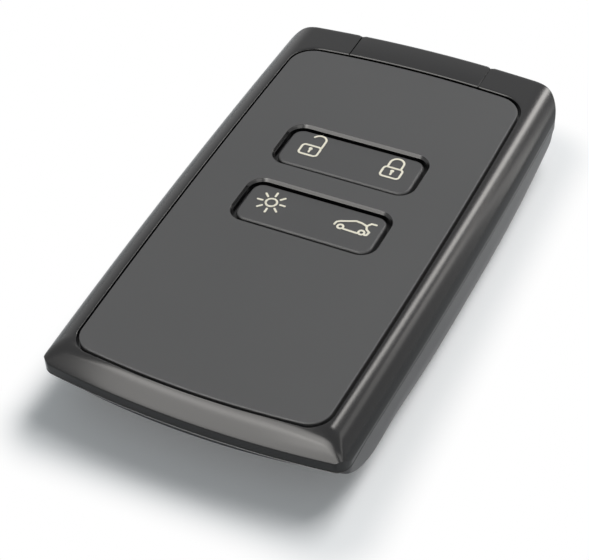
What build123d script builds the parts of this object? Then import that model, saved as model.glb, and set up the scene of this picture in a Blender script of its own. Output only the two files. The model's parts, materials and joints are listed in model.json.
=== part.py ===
from build123d import *
import os
from math import atan2, cos, degrees, radians, sin, sqrt

# A hands-free car key: a flat card with two rocker buttons and an emergency key that pulls out.
# X runs across the card, Y from the battery end to the emergency key's head, and Z up from the
# face that lies on the table. The origin is the middle of the card's length and width.
# All lengths are in millimetres.

# The card as a whole
card_length = 82.0
card_width = 46.7
card_height = 12.5
seam_height = 8.4
panel_proud = 0.12
cut_overrun = 3.0

# The card's outline seen from above: four arcs that meet in rounded corners
widest_inset = 26.0
side_arc_radius = 1300.0
far_arc_radius = 170.0
near_arc_radius = 150.0
far_corner_radius = 5.4
near_corner_radius = 1.8
shoulder_radius = 3.6
shoulder_limit_share = 0.97
far_edge_rounding = 0.9
mitre_rounding = 1.5

# The belly: a flat to rest on, and arcs that rise to both ends
belly_near_length = 35.0
belly_far_length = 31.0
belly_far_arc_radius = 155.0
belly_near_arc_radius = 172.0
belly_lip_length = 10.0
near_rim_depth = 0.9
belly_edge_rounding = 1.5

# Front bezel
bezel_wall = 2.0
bezel_top = card_height - panel_proud
rebate_depth = 0.8
rebate_land = 0.75
ledge_width = 2.0
ledge_thickness = 1.0
bulkhead_thickness = 1.2
boss_radius = 1.9
boss_side_inset = 5.55
boss_near_inset = 12.0
boss_far_inset = 13.5

# Front panel and its two windows
panel_side_margin = 4.35
panel_far_margin = 6.6
panel_near_margin = 2.7
panel_thickness = 1.2
panel_widest_inset = 30.0
panel_far_arc_radius = 150.0
panel_near_arc_radius = 132.0
panel_far_corner_radius = 4.0
panel_near_corner_radius = 3.2
panel_edge_rounding = 0.3
panel_gap = 0.35
window_width = 22.8
window_height = 9.7
window_corner_radius = 2.6
window_bevel_width = 0.5
window_bevel_depth = 0.4
upper_window_inset = 29.85
window_pitch = 13.45

# Rockers, which tilt about trunnions along Y
rocker_gap = 0.35
pad_recess = 0.4
pad_edge_rounding = 0.45
rocker_depth = 1.9
flange_width = 0.8
flange_thickness = 0.5
trunnion_radius = 0.55
trunnion_length = 1.5
trunnion_play = 0.05
stem_x = 7.5
stem_radius = 1.4
stem_length = 0.25

# Pictograms printed on the rockers
print_thickness = 0.06
stroke = 0.32
symbol_x = 6.55
lock_body_width = 2.95
lock_body_height = 2.15
lock_corner_radius = 0.35
lock_drop = 0.1
shackle_radius = 1.05
shackle_leg = 1.1
open_shackle_leg = 1.5
open_shackle_shift = 0.4
open_shackle_sweep = 155.0
keyhole_radius = 0.3
keyhole_slot = 0.75
sun_rise = 0.62
sun_ring_radius = 0.82
ray_start = 1.42
ray_length = 0.72
ray_count = 8
car_length = 5.45
car_centre_x = 6.35
car_drop = 0.1
wheel_radius = 0.42
wheel_shares = (-0.32, 0.27)
roof_shares = ((-0.50, 0.03), (-0.485, 0.13), (-0.40, 0.19), (-0.21, 0.27), (-0.02, 0.35), (0.15, 0.33))
rear_shares = ((0.15, 0.33), (0.30, 0.275), (0.345, 0.16), (0.45, 0.08), (0.43, -0.04), (0.38, -0.06))
tailgate_shares = ((0.30, 0.275), (0.385, 0.40), (0.52, 0.405))
sill_shares = ((-0.21, -0.055), (0.17, -0.065))

# Keypad carrier under the panel, with the saddles for the trunnions
carrier_thickness = 0.7
carrier_side_inset = 3.35
carrier_margin = 2.6
carrier_corner_radius = 2.5
carrier_window_gap = 0.4
post_width = 4.0
end_post_depth = 1.8
carrier_leg = 2.4
carrier_leg_inset = 0.3

# Silicone keypad between the carrier and the circuit board
keypad_skin = 0.3
keypad_rib = 1.0
keypad_margin_x = 1.6
keypad_margin_y = 1.0
keypad_corner_radius = 2.0
nub_radius = 1.3

# Circuit board and what is soldered to it
board_thickness = 0.8
board_inset = 3.2
board_end_gap = 0.35
board_corner_radius = 2.0
switch_room = 0.9
switch_length = 3.4
switch_width = 2.9
switch_body_height = 0.42
plunger_radius = 0.75
plunger_height = 0.13
controller_size = 7.0
controller_height = 0.9
controller_side_inset = 9.95
controller_inset = 33.0
radio_size = 4.0
radio_height = 0.85
radio_inset = 42.5
crystal_length = 3.2
crystal_width = 2.5
crystal_height = 0.7
crystal_inset = 47.2
chip_edge = 0.25
capacitor_length = 1.6
capacitor_width = 0.8
capacitor_height = 0.8
capacitor_end = 0.35
capacitor_end_proud = 0.04
capacitor_columns = 4
capacitor_rows = 2
capacitor_pitch = 2.2
capacitor_inset = 26.2
antenna_size = 11.0
antenna_height = 3.0
antenna_side_inset = 10.65
antenna_inset = 35.0
antenna_flange_height = 0.5
antenna_groove = 1.4
coil_gap = 0.05
coil_thickness = 1.1

# Battery and its contacts
battery_radius = 10.0
battery_height = 3.2
battery_inset = 22.0
battery_cap_radius = 8.8
battery_cap_height = 0.3
battery_edge = 0.35
battery_pocket_gap = 0.25
contact_height = 0.8
contact_sheet = 0.2
contact_ring_radius = 4.5
contact_ring_width = 1.4
contact_finger_width = 1.4
contact_finger_length = 4.2
contact_finger_count = 3
clip_width = 5.0
clip_sheet = 0.3
clip_gap = 0.1
clip_foot = 2.0

# Inner frame that holds the battery, the blade and the latch
frame_rail_width = 1.6
frame_rail_height = 1.4
frame_rib_width = 1.4
frame_rib_height = 2.6
battery_rib_inset = 14.0
middle_rib_inset = 31.5
latch_rib_inset = 22.8
frame_gap = 0.3
battery_skirt = 0.3
clip_room = 0.2
battery_wall = 1.2
channel_wall = 1.4
channel_skin = 0.6
ear_radius = 2.6
ear_thickness = 1.0
latch_wall = 1.0
latch_floor = 0.8

# Screws that hold frame and board to the bezel
screw_radius = 0.8
screw_clearance = 0.15
screw_pilot_clearance = 0.05
screw_bite = 2.1
screw_head_radius = 1.5
screw_head_height = 0.8
screw_slot_width = 0.4
screw_slot_depth = 0.35

# Rear cover
cover_floor = 1.1
cover_wall = 1.5
tongue_gap = 0.15
tongue_height = 0.65
clip_tab_length = 6.0
clip_tab_thickness = 0.75
clip_tab_rise = 1.6
clip_tab_root = 1.6
clip_bow_room = 0.05
clip_tab_inset = 24.0

# Emergency key
key_gap = 0.15
notch_half_width = 10.95
notch_depth = 6.7
blade_width = 8.0
blade_thickness = 2.0
blade_bottom = 5.2
blade_play = 0.15
blade_tip_gap = 1.75
blade_tang = 4.2
blade_tip_chamfer = 1.6
blade_groove_width = 1.6
blade_groove_depth = 0.5
blade_groove_stop = 4.0
key_pin_radius = 0.75
key_pin_gap = 0.05
key_pin_bottom = 3.0
key_pin_height = 6.2
key_pin_inset = 2.1
blade_notch_length = 2.4
blade_notch_depth = 0.6
blade_notch_height = 0.8

# Release button under the blade, with its two springs
button_inset = 19.0
button_travel = 0.7
button_boss_width = 8.0
button_boss_length = 4.8
button_boss_corner = 1.0
button_recess = 0.3
button_gap = 0.3
button_flange_half_width = 8.9
button_flange_length = 6.0
button_flange_thickness = 0.7
button_arm_thickness = 1.0
button_arm_length = 2.0
button_arm_top_gap = 0.1
tooth_gap = 0.15
tooth_height = 0.5
spring_x = 7.3
spring_radius = 0.95
spring_wire_radius = 0.15
spring_turns = 5
spring_seat_gap = 0.02
spring_peg_radius = 0.55
spring_peg_height = 0.8

# Heights and places that follow from the sizes above
half_width = card_width / 2
far_y = card_length / 2
near_y = -far_y
widest_y = far_y - widest_inset
rest_flat_start_y = near_y + belly_near_length
rest_flat_end_y = far_y - belly_far_length
belly_turn_y = near_y + belly_lip_length
shoulder = min(shoulder_radius, shoulder_limit_share * (bezel_top - seam_height))
boss_x = half_width - boss_side_inset
boss_near_y = near_y + boss_near_inset
boss_far_y = far_y - boss_far_inset
panel_width = card_width - 2 * panel_side_margin
panel_length = card_length - panel_far_margin - panel_near_margin
panel_centre_y = (panel_near_margin - panel_far_margin) / 2
panel_widest_y = far_y - panel_widest_inset
upper_window_y = far_y - upper_window_inset
notch_near_y = far_y - notch_depth
button_y = far_y - button_inset
controller_x = half_width - controller_side_inset
controller_y = far_y - controller_inset
radio_y = far_y - radio_inset
crystal_y = far_y - crystal_inset
capacitor_y = far_y - capacitor_inset
antenna_x = antenna_side_inset - half_width
antenna_y = far_y - antenna_inset
battery_y = near_y + battery_inset
blade_tip_y = battery_y + battery_radius + battery_pocket_gap + battery_wall + blade_tip_gap
carrier_half_width = half_width - carrier_side_inset
panel_bottom = card_height - panel_thickness
ledge_bottom = panel_bottom - ledge_thickness
pad_top = card_height - pad_recess
rocker_bottom = pad_top - rocker_depth
pivot_height = rocker_bottom + flange_thickness / 2
stem_bottom = rocker_bottom - stem_length
carrier_bottom = ledge_bottom - carrier_thickness
keypad_bottom = carrier_bottom - keypad_skin
board_top = carrier_bottom - switch_room
board_bottom = board_top - board_thickness
battery_top = board_bottom - contact_height
battery_bottom = battery_top - battery_height
blade_top = blade_bottom + blade_thickness
lower_window_y = upper_window_y - window_pitch
window_ys = (lower_window_y, upper_window_y)
opening_width = window_width - 2 * window_bevel_width
opening_height = window_height - 2 * window_bevel_width
opening_corner_radius = window_corner_radius - window_bevel_width
pad_width = opening_width - 2 * rocker_gap
pad_height = opening_height - 2 * rocker_gap
pad_corner_radius = opening_corner_radius - rocker_gap
flange_half_width = pad_width / 2 + flange_width
flange_half_height = pad_height / 2 + flange_width
carrier_window_half_height = flange_half_height + carrier_window_gap
bulkhead_near_y = notch_near_y - bulkhead_thickness
head_near_y = notch_near_y + key_gap
boss_places = [(x, y) for x in (-boss_x, boss_x) for y in (boss_near_y, boss_far_y)]
channel_half_width = blade_width / 2 + blade_play + channel_wall
slot_bottom = blade_bottom - blade_play
slot_top = blade_top + blade_play
latch_floor_top = slot_bottom - button_travel - button_flange_thickness
latch_half_width = button_flange_half_width + button_gap
latch_half_length = button_flange_length / 2 + button_gap
latch_pocket_top = slot_bottom + button_arm_top_gap


def card_outline(inset):
    """The card seen from above, drawn in by inset: two side arcs, a far and a near arc."""
    with BuildSketch() as outline:
        with Locations((half_width - side_arc_radius, widest_y)):
            Circle(side_arc_radius - inset)
        with Locations((side_arc_radius - half_width, widest_y)):
            Circle(side_arc_radius - inset, mode=Mode.INTERSECT)
        with Locations((0, far_y - far_arc_radius)):
            Circle(far_arc_radius - inset, mode=Mode.INTERSECT)
        with Locations((0, near_y + near_arc_radius)):
            Circle(near_arc_radius - inset, mode=Mode.INTERSECT)
        fillet(outline.vertices().group_by(Axis.Y)[-1], far_corner_radius - inset)
        near_rounding = max(near_corner_radius - inset, near_corner_radius / 3)
        fillet(outline.vertices().group_by(Axis.Y)[0], near_rounding)
    return outline.sketch


def panel_outline(growth):
    """The front panel seen from above, grown by growth on every side."""
    side_centre = side_arc_radius - panel_width / 2
    with BuildSketch() as outline:
        with Locations((-side_centre, panel_widest_y)):
            Circle(side_arc_radius + growth)
        with Locations((side_centre, panel_widest_y)):
            Circle(side_arc_radius + growth, mode=Mode.INTERSECT)
        with Locations((0, panel_centre_y + panel_length / 2 - panel_far_arc_radius)):
            Circle(panel_far_arc_radius + growth, mode=Mode.INTERSECT)
        with Locations((0, panel_centre_y - panel_length / 2 + panel_near_arc_radius)):
            Circle(panel_near_arc_radius + growth, mode=Mode.INTERSECT)
        fillet(outline.vertices().group_by(Axis.Y)[-1], panel_far_corner_radius + growth)
        fillet(outline.vertices().group_by(Axis.Y)[0], panel_near_corner_radius + growth)
    return outline.sketch


def board_outline(inset):
    """The circuit board seen from above, drawn in by inset. Its far end stops at the bulkhead."""
    end_y = bulkhead_near_y - board_end_gap - inset
    with BuildSketch() as outline:
        add(card_outline(board_inset + inset))
        with Locations((0, end_y)):
            Rectangle(card_width, card_length * 2, align=(Align.CENTER, Align.MAX), mode=Mode.INTERSECT)
        fillet(outline.vertices().group_by(Axis.Y)[-1], board_corner_radius)
    return outline.sketch


def side_x(y):
    """Half the card's width at the place y along it."""
    return half_width - (y - widest_y) ** 2 / (2 * side_arc_radius)


def belly_height(y):
    """How far the belly stands above the table at y, between the turn and the far end."""
    if y > rest_flat_end_y:
        return belly_far_arc_radius - sqrt(belly_far_arc_radius**2 - (y - rest_flat_end_y) ** 2)
    if y < rest_flat_start_y:
        return belly_near_arc_radius - sqrt(belly_near_arc_radius**2 - (y - rest_flat_start_y) ** 2)
    return 0


def belly_space(inset):
    """Everything above the belly's long curve, raised by inset, as one wide block."""
    beyond_far = far_y + cut_overrun
    beyond_near = near_y - cut_overrun
    ceiling = card_height + cut_overrun
    rim_bottom = seam_height - near_rim_depth
    with BuildPart() as space:
        with BuildSketch(Plane.YZ) as side_view:
            with BuildLine():
                Line((rest_flat_start_y, 0), (rest_flat_end_y, 0))
                far_arc = TangentArc(
                    (rest_flat_end_y, 0), (beyond_far, belly_height(beyond_far)), tangent=(1, 0)
                )
                near_arc = TangentArc(
                    (rest_flat_start_y, 0), (belly_turn_y, belly_height(belly_turn_y)), tangent=(-1, 0)
                )
                lip_arc = TangentArc(near_arc @ 1, (near_y, rim_bottom), tangent=near_arc % 1)
                Polyline(
                    lip_arc @ 1,
                    (beyond_near, rim_bottom),
                    (beyond_near, ceiling),
                    (beyond_far, ceiling),
                    far_arc @ 1,
                )
            make_face()
            if inset > 0:
                offset(amount=-inset, kind=Kind.INTERSECTION, mode=Mode.REPLACE)
        extrude(amount=half_width + cut_overrun, both=True)
    return space.part


def shouldered_disc(x, y, radius):
    """A wide disc from the seam to the bezel's top, its upper edge rounded as a shoulder."""
    with BuildPart() as disc:
        with BuildSketch(Plane.XY.offset(seam_height)):
            with Locations((x, y)):
                Circle(radius)
        extrude(amount=bezel_top - seam_height)
        fillet(disc.edges().group_by(Axis.Z)[-1], shoulder)
    return disc.part


def far_rounded_block():
    """The card's outline drawn up to the bezel's top, its upper edge rounded round the far end."""
    with BuildPart() as block:
        with BuildSketch(Plane.XY.offset(seam_height)):
            add(card_outline(0))
        extrude(amount=bezel_top - seam_height)
        top_edges = block.faces().sort_by(Axis.Z)[-1].edges()
        far_edges = top_edges.filter_by_position(Axis.Y, far_y - far_corner_radius, far_y + cut_overrun)
        fillet(far_edges, far_edge_rounding)
    return block.part


def upper_form():
    """The card's solid form above the seam, with shoulders on both sides and the near end."""
    side_centre = side_arc_radius - half_width
    with BuildPart() as form:
        with BuildSketch(Plane.XY.offset(seam_height)):
            add(card_outline(0))
        extrude(amount=bezel_top - seam_height)
        add(shouldered_disc(-side_centre, widest_y, side_arc_radius), mode=Mode.INTERSECT)
        add(shouldered_disc(side_centre, widest_y, side_arc_radius), mode=Mode.INTERSECT)
        add(shouldered_disc(0, near_y + near_arc_radius, near_arc_radius), mode=Mode.INTERSECT)
        mid_height = (seam_height + bezel_top) / 2
        mitres = form.edges().filter_by(GeomType.BSPLINE)
        mitres = mitres.filter_by_position(Axis.Y, near_y, near_y + 2 * shoulder)
        mitres = mitres.filter_by_position(Axis.Z, mid_height, bezel_top)
        fillet(mitres, mitre_rounding)
        add(far_rounded_block(), mode=Mode.INTERSECT)
    return form.part


def lower_form():
    """The card's solid form below the seam, with its belly's edge rounded."""
    with BuildPart() as form:
        with BuildSketch():
            add(card_outline(0))
        extrude(amount=seam_height)
        add(belly_space(0), mode=Mode.INTERSECT)
        rim_middle = seam_height - near_rim_depth / 2
        low_edges = form.edges().filter_by_position(Axis.Z, -cut_overrun, rim_middle)
        low_edges = low_edges.filter_by(Axis.X, reverse=True).filter_by(Axis.Z, reverse=True)
        fillet(low_edges, belly_edge_rounding)
    return form.part


os.makedirs("parts", exist_ok=True)

# Front bezel: the glossy frame round the panel, with a ledge for it and bosses for the screws
with BuildPart() as front_bezel:
    add(upper_form())
    with BuildSketch(Plane.XY.offset(panel_bottom)):
        add(panel_outline(panel_gap))
    extrude(amount=card_height, mode=Mode.SUBTRACT)
    with BuildSketch(Plane.XY.offset(ledge_bottom)):
        add(panel_outline(-ledge_width))
    extrude(amount=card_height, mode=Mode.SUBTRACT)
    with BuildSketch(Plane.XY.offset(seam_height)):
        add(card_outline(bezel_wall))
        with Locations((0, bulkhead_near_y)):
            Rectangle(
                2 * (notch_half_width + bulkhead_thickness),
                card_length,
                align=(Align.CENTER, Align.MIN),
                mode=Mode.SUBTRACT,
            )
    extrude(amount=ledge_bottom - seam_height, mode=Mode.SUBTRACT)
    with BuildSketch(Plane.XY.offset(seam_height)):
        add(card_outline(rebate_land))
        with Locations((0, bulkhead_near_y)):
            Rectangle(
                2 * (notch_half_width + bulkhead_thickness),
                card_length,
                align=(Align.CENTER, Align.MIN),
                mode=Mode.SUBTRACT,
            )
    extrude(amount=rebate_depth, mode=Mode.SUBTRACT)
    with BuildSketch(Plane.XY.offset(seam_height)):
        with Locations((0, notch_near_y)):
            Rectangle(2 * notch_half_width, card_length, align=(Align.CENTER, Align.MIN))
    extrude(amount=card_height, mode=Mode.SUBTRACT)
    with BuildSketch(Plane.XY.offset(board_top)):
        with Locations(*boss_places):
            Circle(boss_radius)
    extrude(amount=ledge_bottom - board_top)
    with BuildSketch(Plane.XY.offset(board_top)):
        with Locations(*boss_places):
            Circle(screw_radius + screw_pilot_clearance)
    extrude(amount=screw_bite + screw_pilot_clearance, mode=Mode.SUBTRACT)
front_bezel.part.label = "front_bezel"
export_step(front_bezel.part, "parts/front_bezel.step")

# Front panel: the matte plate that fills the bezel, with a bevelled window for each rocker
with BuildPart() as front_panel:
    with BuildSketch(Plane.XY.offset(panel_bottom)):
        add(panel_outline(0))
    extrude(amount=panel_thickness)
    fillet(front_panel.faces().sort_by(Axis.Z)[-1].edges(), panel_edge_rounding)
    with BuildSketch(Plane.XY.offset(panel_bottom)):
        with Locations(*[(0, y) for y in window_ys]):
            RectangleRounded(opening_width, opening_height, opening_corner_radius)
    extrude(amount=panel_thickness, mode=Mode.SUBTRACT)
    top_face = front_panel.faces().sort_by(Axis.Z)[-1]
    window_rims = [edge for wire in top_face.inner_wires() for edge in wire.edges()]
    chamfer(window_rims, window_bevel_depth, window_bevel_width)
front_panel.part.label = "front_panel"
export_step(front_panel.part, "parts/front_panel.step")


def rocker(window_y):
    """A rocker: its pad, the flange that keeps it under the panel, two stems and two trunnions."""
    with BuildPart() as piece:
        with BuildSketch(Plane.XY.offset(rocker_bottom)):
            with Locations((0, window_y)):
                RectangleRounded(pad_width, pad_height, pad_corner_radius)
        extrude(amount=rocker_depth)
        fillet(piece.faces().sort_by(Axis.Z)[-1].edges(), pad_edge_rounding)
        with BuildSketch(Plane.XY.offset(rocker_bottom)):
            with Locations((0, window_y)):
                RectangleRounded(2 * flange_half_width, 2 * flange_half_height, pad_corner_radius)
        extrude(amount=flange_thickness)
        with BuildSketch(Plane.XY.offset(rocker_bottom)):
            with Locations((-stem_x, window_y), (stem_x, window_y)):
                Circle(stem_radius)
        extrude(amount=-stem_length)
        axle_length = 2 * (flange_half_height + trunnion_length)
        with BuildSketch(Plane.XZ.offset(-window_y)):
            with Locations((0, pivot_height)):
                Circle(trunnion_radius)
        extrude(amount=axle_length / 2, both=True)
    return piece


# Upper rocker, for unlocking and locking
upper_rocker = rocker(upper_window_y)
upper_rocker.part.label = "upper_rocker"
export_step(upper_rocker.part, "parts/upper_rocker.step")

# Lower rocker, for the lights and the tailgate
lower_rocker = rocker(lower_window_y)
lower_rocker.part.label = "lower_rocker"
export_step(lower_rocker.part, "parts/lower_rocker.step")


def draw_stroke(start, end):
    """A straight printed line with round ends."""
    middle = ((start[0] + end[0]) / 2, (start[1] + end[1]) / 2)
    across = end[0] - start[0]
    along = end[1] - start[1]
    with Locations(Location(middle, degrees(atan2(along, across)))):
        SlotCenterToCenter(sqrt(across**2 + along**2), stroke)


def draw_path(points):
    """Straight strokes from each point to the next."""
    for start, end in zip(points[:-1], points[1:]):
        draw_stroke(start, end)


def draw_ring(x, y, radius):
    """A printed circle of one stroke's width."""
    with BuildSketch(mode=Mode.PRIVATE) as ring:
        with Locations((x, y)):
            Circle(radius + stroke / 2)
            Circle(radius - stroke / 2, mode=Mode.SUBTRACT)
    add(ring.sketch)


def draw_padlock(x, y):
    """A padlock's body with its keyhole."""
    with BuildSketch(mode=Mode.PRIVATE) as body:
        with Locations((x, y)):
            outer = (lock_body_width + stroke, lock_body_height + stroke)
            inner = (lock_body_width - stroke, lock_body_height - stroke)
            RectangleRounded(*outer, lock_corner_radius + stroke)
            RectangleRounded(*inner, lock_corner_radius, mode=Mode.SUBTRACT)
    add(body.sketch)
    with Locations((x, y + keyhole_slot / 2)):
        Circle(keyhole_radius)
    draw_stroke((x, y + keyhole_slot / 2), (x, y - keyhole_slot / 2))


def draw_bow(x, y, sweep):
    """A shackle's bow about its centre, from the right leg to the left by sweep degrees."""
    with BuildLine(mode=Mode.PRIVATE) as bow:
        CenterArc((x, y), shackle_radius, 0, sweep)
    SlotArc(bow.edges()[0], stroke)


def placed(shares, x, y):
    """Points of the tailgate pictogram, from shares of the car's length."""
    return [(x + share_x * car_length, y + share_y * car_length) for share_x, share_y in shares]


lock_y = upper_window_y - lock_drop
lock_body_top = lock_y + lock_body_height / 2

# Open padlock on the upper rocker
with BuildPart() as unlock_symbol:
    with BuildSketch(Plane.XY.offset(pad_top)):
        draw_padlock(-symbol_x, lock_y)
        bow_x = open_shackle_shift - symbol_x
        bow_y = lock_body_top + open_shackle_leg
        draw_stroke((bow_x + shackle_radius, lock_body_top), (bow_x + shackle_radius, bow_y))
        draw_bow(bow_x, bow_y, open_shackle_sweep)
    extrude(amount=print_thickness)
unlock_symbol.part.label = "unlock_symbol"
export_step(unlock_symbol.part, "parts/unlock_symbol.step")

# Closed padlock on the upper rocker
with BuildPart() as lock_symbol:
    with BuildSketch(Plane.XY.offset(pad_top)):
        draw_padlock(symbol_x, lock_y)
        bow_y = lock_body_top + shackle_leg
        for leg_x in (symbol_x - shackle_radius, symbol_x + shackle_radius):
            draw_stroke((leg_x, lock_body_top), (leg_x, bow_y))
        draw_bow(symbol_x, bow_y, 180)
    extrude(amount=print_thickness)
lock_symbol.part.label = "lock_symbol"
export_step(lock_symbol.part, "parts/lock_symbol.step")

# Sun for the lights, on the lower rocker
with BuildPart() as light_symbol:
    sun_y = lower_window_y + sun_rise
    with BuildSketch(Plane.XY.offset(pad_top)):
        draw_ring(-symbol_x, sun_y, sun_ring_radius)
        for number in range(ray_count):
            angle = radians(360 * (number + 0.5) / ray_count)
            ray_end = ray_start + ray_length
            start = (ray_start * cos(angle) - symbol_x, ray_start * sin(angle) + sun_y)
            end = (ray_end * cos(angle) - symbol_x, ray_end * sin(angle) + sun_y)
            draw_stroke(start, end)
    extrude(amount=print_thickness)
light_symbol.part.label = "light_symbol"
export_step(light_symbol.part, "parts/light_symbol.step")

# Car with a raised tailgate, on the lower rocker
with BuildPart() as tailgate_symbol:
    car_y = lower_window_y - car_drop
    with BuildSketch(Plane.XY.offset(pad_top)):
        for shares in (roof_shares, rear_shares, tailgate_shares, sill_shares):
            draw_path(placed(shares, car_centre_x, car_y))
        for share in wheel_shares:
            draw_ring(car_centre_x + share * car_length, car_y, wheel_radius)
    extrude(amount=print_thickness)
tailgate_symbol.part.label = "tailgate_symbol"
export_step(tailgate_symbol.part, "parts/tailgate_symbol.step")

# Keypad carrier: a plate under the ledge, whose posts hold the trunnions in open saddles
carrier_near_y = lower_window_y - carrier_window_half_height - end_post_depth - carrier_margin
carrier_far_y = upper_window_y + carrier_window_half_height + end_post_depth + carrier_margin
carrier_centre_y = (carrier_near_y + carrier_far_y) / 2
carrier_length = carrier_far_y - carrier_near_y
middle_post_depth = window_pitch - 2 * carrier_window_half_height
near_post_y = lower_window_y - carrier_window_half_height - end_post_depth / 2
far_post_y = upper_window_y + carrier_window_half_height + end_post_depth / 2
leg_offset_x = carrier_half_width - carrier_leg_inset - carrier_leg / 2
leg_offset_y = carrier_length / 2 - carrier_leg_inset - carrier_leg / 2
with BuildPart() as keypad_carrier:
    with BuildSketch(Plane.XY.offset(carrier_bottom)):
        with Locations((0, carrier_centre_y)):
            RectangleRounded(2 * carrier_half_width, carrier_length, carrier_corner_radius)
        with Locations(*[(0, y) for y in window_ys]):
            RectangleRounded(
                2 * (flange_half_width + carrier_window_gap),
                2 * carrier_window_half_height,
                pad_corner_radius,
                mode=Mode.SUBTRACT,
            )
    extrude(amount=carrier_thickness)
    with BuildSketch(Plane.XY.offset(carrier_bottom)):
        with Locations((0, near_post_y), (0, far_post_y)):
            Rectangle(post_width, end_post_depth)
        with Locations((0, (lower_window_y + upper_window_y) / 2)):
            Rectangle(post_width, middle_post_depth)
    extrude(amount=panel_bottom - carrier_bottom)
    with BuildSketch(Plane.XY.offset(board_top)):
        with Locations((0, carrier_centre_y)):
            with GridLocations(2 * leg_offset_x, 2 * leg_offset_y, 2, 2):
                Rectangle(carrier_leg, carrier_leg)
    extrude(amount=carrier_bottom - board_top)
    saddle_radius = trunnion_radius + trunnion_play
    with BuildSketch(Plane.XZ.offset(-carrier_centre_y)):
        with Locations((0, pivot_height)):
            Circle(saddle_radius)
            Rectangle(2 * saddle_radius, card_height, align=(Align.CENTER, Align.MIN))
    extrude(amount=carrier_length, both=True, mode=Mode.SUBTRACT)
keypad_carrier.part.label = "keypad_carrier"
export_step(keypad_carrier.part, "parts/keypad_carrier.step")

# Silicone keypad: a thin sheet with a rim that stands on the board and a nub under each stem
keypad_width = 2 * (flange_half_width + keypad_margin_x)
keypad_length = window_pitch + 2 * (flange_half_height + keypad_margin_y)
keypad_y = (lower_window_y + upper_window_y) / 2
switch_places = [(x, y) for y in window_ys for x in (-stem_x, stem_x)]
with BuildPart() as keypad_membrane:
    with BuildSketch(Plane.XY.offset(board_top)):
        with Locations((0, keypad_y)):
            RectangleRounded(keypad_width, keypad_length, keypad_corner_radius)
    extrude(amount=carrier_bottom - board_top)
    with BuildSketch(Plane.XY.offset(board_top)):
        with Locations((0, keypad_y)):
            inside_width = keypad_width - 2 * keypad_rib
            inside_length = keypad_length - 2 * keypad_rib
            RectangleRounded(inside_width, inside_length, keypad_corner_radius - keypad_rib)
    extrude(amount=keypad_bottom - board_top, mode=Mode.SUBTRACT)
    with BuildSketch(Plane.XY.offset(carrier_bottom)):
        with Locations(*switch_places):
            Circle(nub_radius)
    extrude(amount=stem_bottom - carrier_bottom)
keypad_membrane.part.label = "keypad_membrane"
export_step(keypad_membrane.part, "parts/keypad_membrane.step")

# Circuit board, clamped between the bosses and the inner frame
with BuildPart() as circuit_board:
    with BuildSketch(Plane.XY.offset(board_bottom)):
        add(board_outline(0))
        with Locations(*boss_places):
            Circle(screw_radius + screw_clearance, mode=Mode.SUBTRACT)
    extrude(amount=board_thickness)
circuit_board.part.label = "circuit_board"
export_step(circuit_board.part, "parts/circuit_board.step")


def tact_switch(x, y):
    """A low push switch on the board, with its round plunger."""
    with BuildPart() as switch:
        with BuildSketch(Plane.XY.offset(board_top)):
            with Locations((x, y)):
                Rectangle(switch_length, switch_width)
        extrude(amount=switch_body_height)
        with BuildSketch(Plane.XY.offset(board_top + switch_body_height)):
            with Locations((x, y)):
                Circle(plunger_radius)
        extrude(amount=plunger_height)
    return switch


# Four push switches, one under each end of each rocker
switch_names = ("light_switch", "tailgate_switch", "unlock_switch", "lock_switch")
for switch_name, (switch_x, switch_y) in zip(switch_names, switch_places):
    tact = tact_switch(switch_x, switch_y)
    tact.part.label = switch_name
    export_step(tact.part, "parts/" + switch_name + ".step")


def chip(x, y, length, width, height):
    """A flat chip hung under the board, its lower edges slightly bevelled."""
    with BuildPart() as package:
        with BuildSketch(Plane.XY.offset(board_bottom - height)):
            with Locations((x, y)):
                Rectangle(length, width)
        extrude(amount=height)
        chamfer(package.faces().sort_by(Axis.Z)[0].edges(), chip_edge)
    return package


# Controller chip under the board
controller_chip = chip(controller_x, controller_y, controller_size, controller_size, controller_height)
controller_chip.part.label = "controller_chip"
export_step(controller_chip.part, "parts/controller_chip.step")

# Radio chip under the board
radio_chip = chip(controller_x, radio_y, radio_size, radio_size, radio_height)
radio_chip.part.label = "radio_chip"
export_step(radio_chip.part, "parts/radio_chip.step")

# Crystal beside the radio chip
crystal = chip(controller_x, crystal_y, crystal_length, crystal_width, crystal_height)
crystal.part.label = "crystal"
export_step(crystal.part, "parts/crystal.step")

# Capacitors in two rows under the board, each with a metal cap at both ends
with BuildPart() as capacitors:
    rows = GridLocations(capacitor_pitch, capacitor_pitch, capacitor_columns, capacitor_rows)
    places = [(controller_x + place.position.X, capacitor_y + place.position.Y) for place in rows]
    with BuildSketch(Plane.XY.offset(board_bottom - capacitor_height + capacitor_end_proud)):
        with Locations(*places):
            Rectangle(capacitor_width, capacitor_length)
    extrude(amount=capacitor_height - capacitor_end_proud)
    with BuildSketch(Plane.XY.offset(board_bottom - capacitor_height)):
        end_offset = (capacitor_length - capacitor_end) / 2
        for side in (-end_offset, end_offset):
            with Locations(*[(x, y + side) for x, y in places]):
                Rectangle(capacitor_width + 2 * capacitor_end_proud, capacitor_end + 2 * capacitor_end_proud)
    extrude(amount=capacitor_height)
capacitors.part.label = "capacitors"
export_step(capacitors.part, "parts/capacitors.step")

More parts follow.
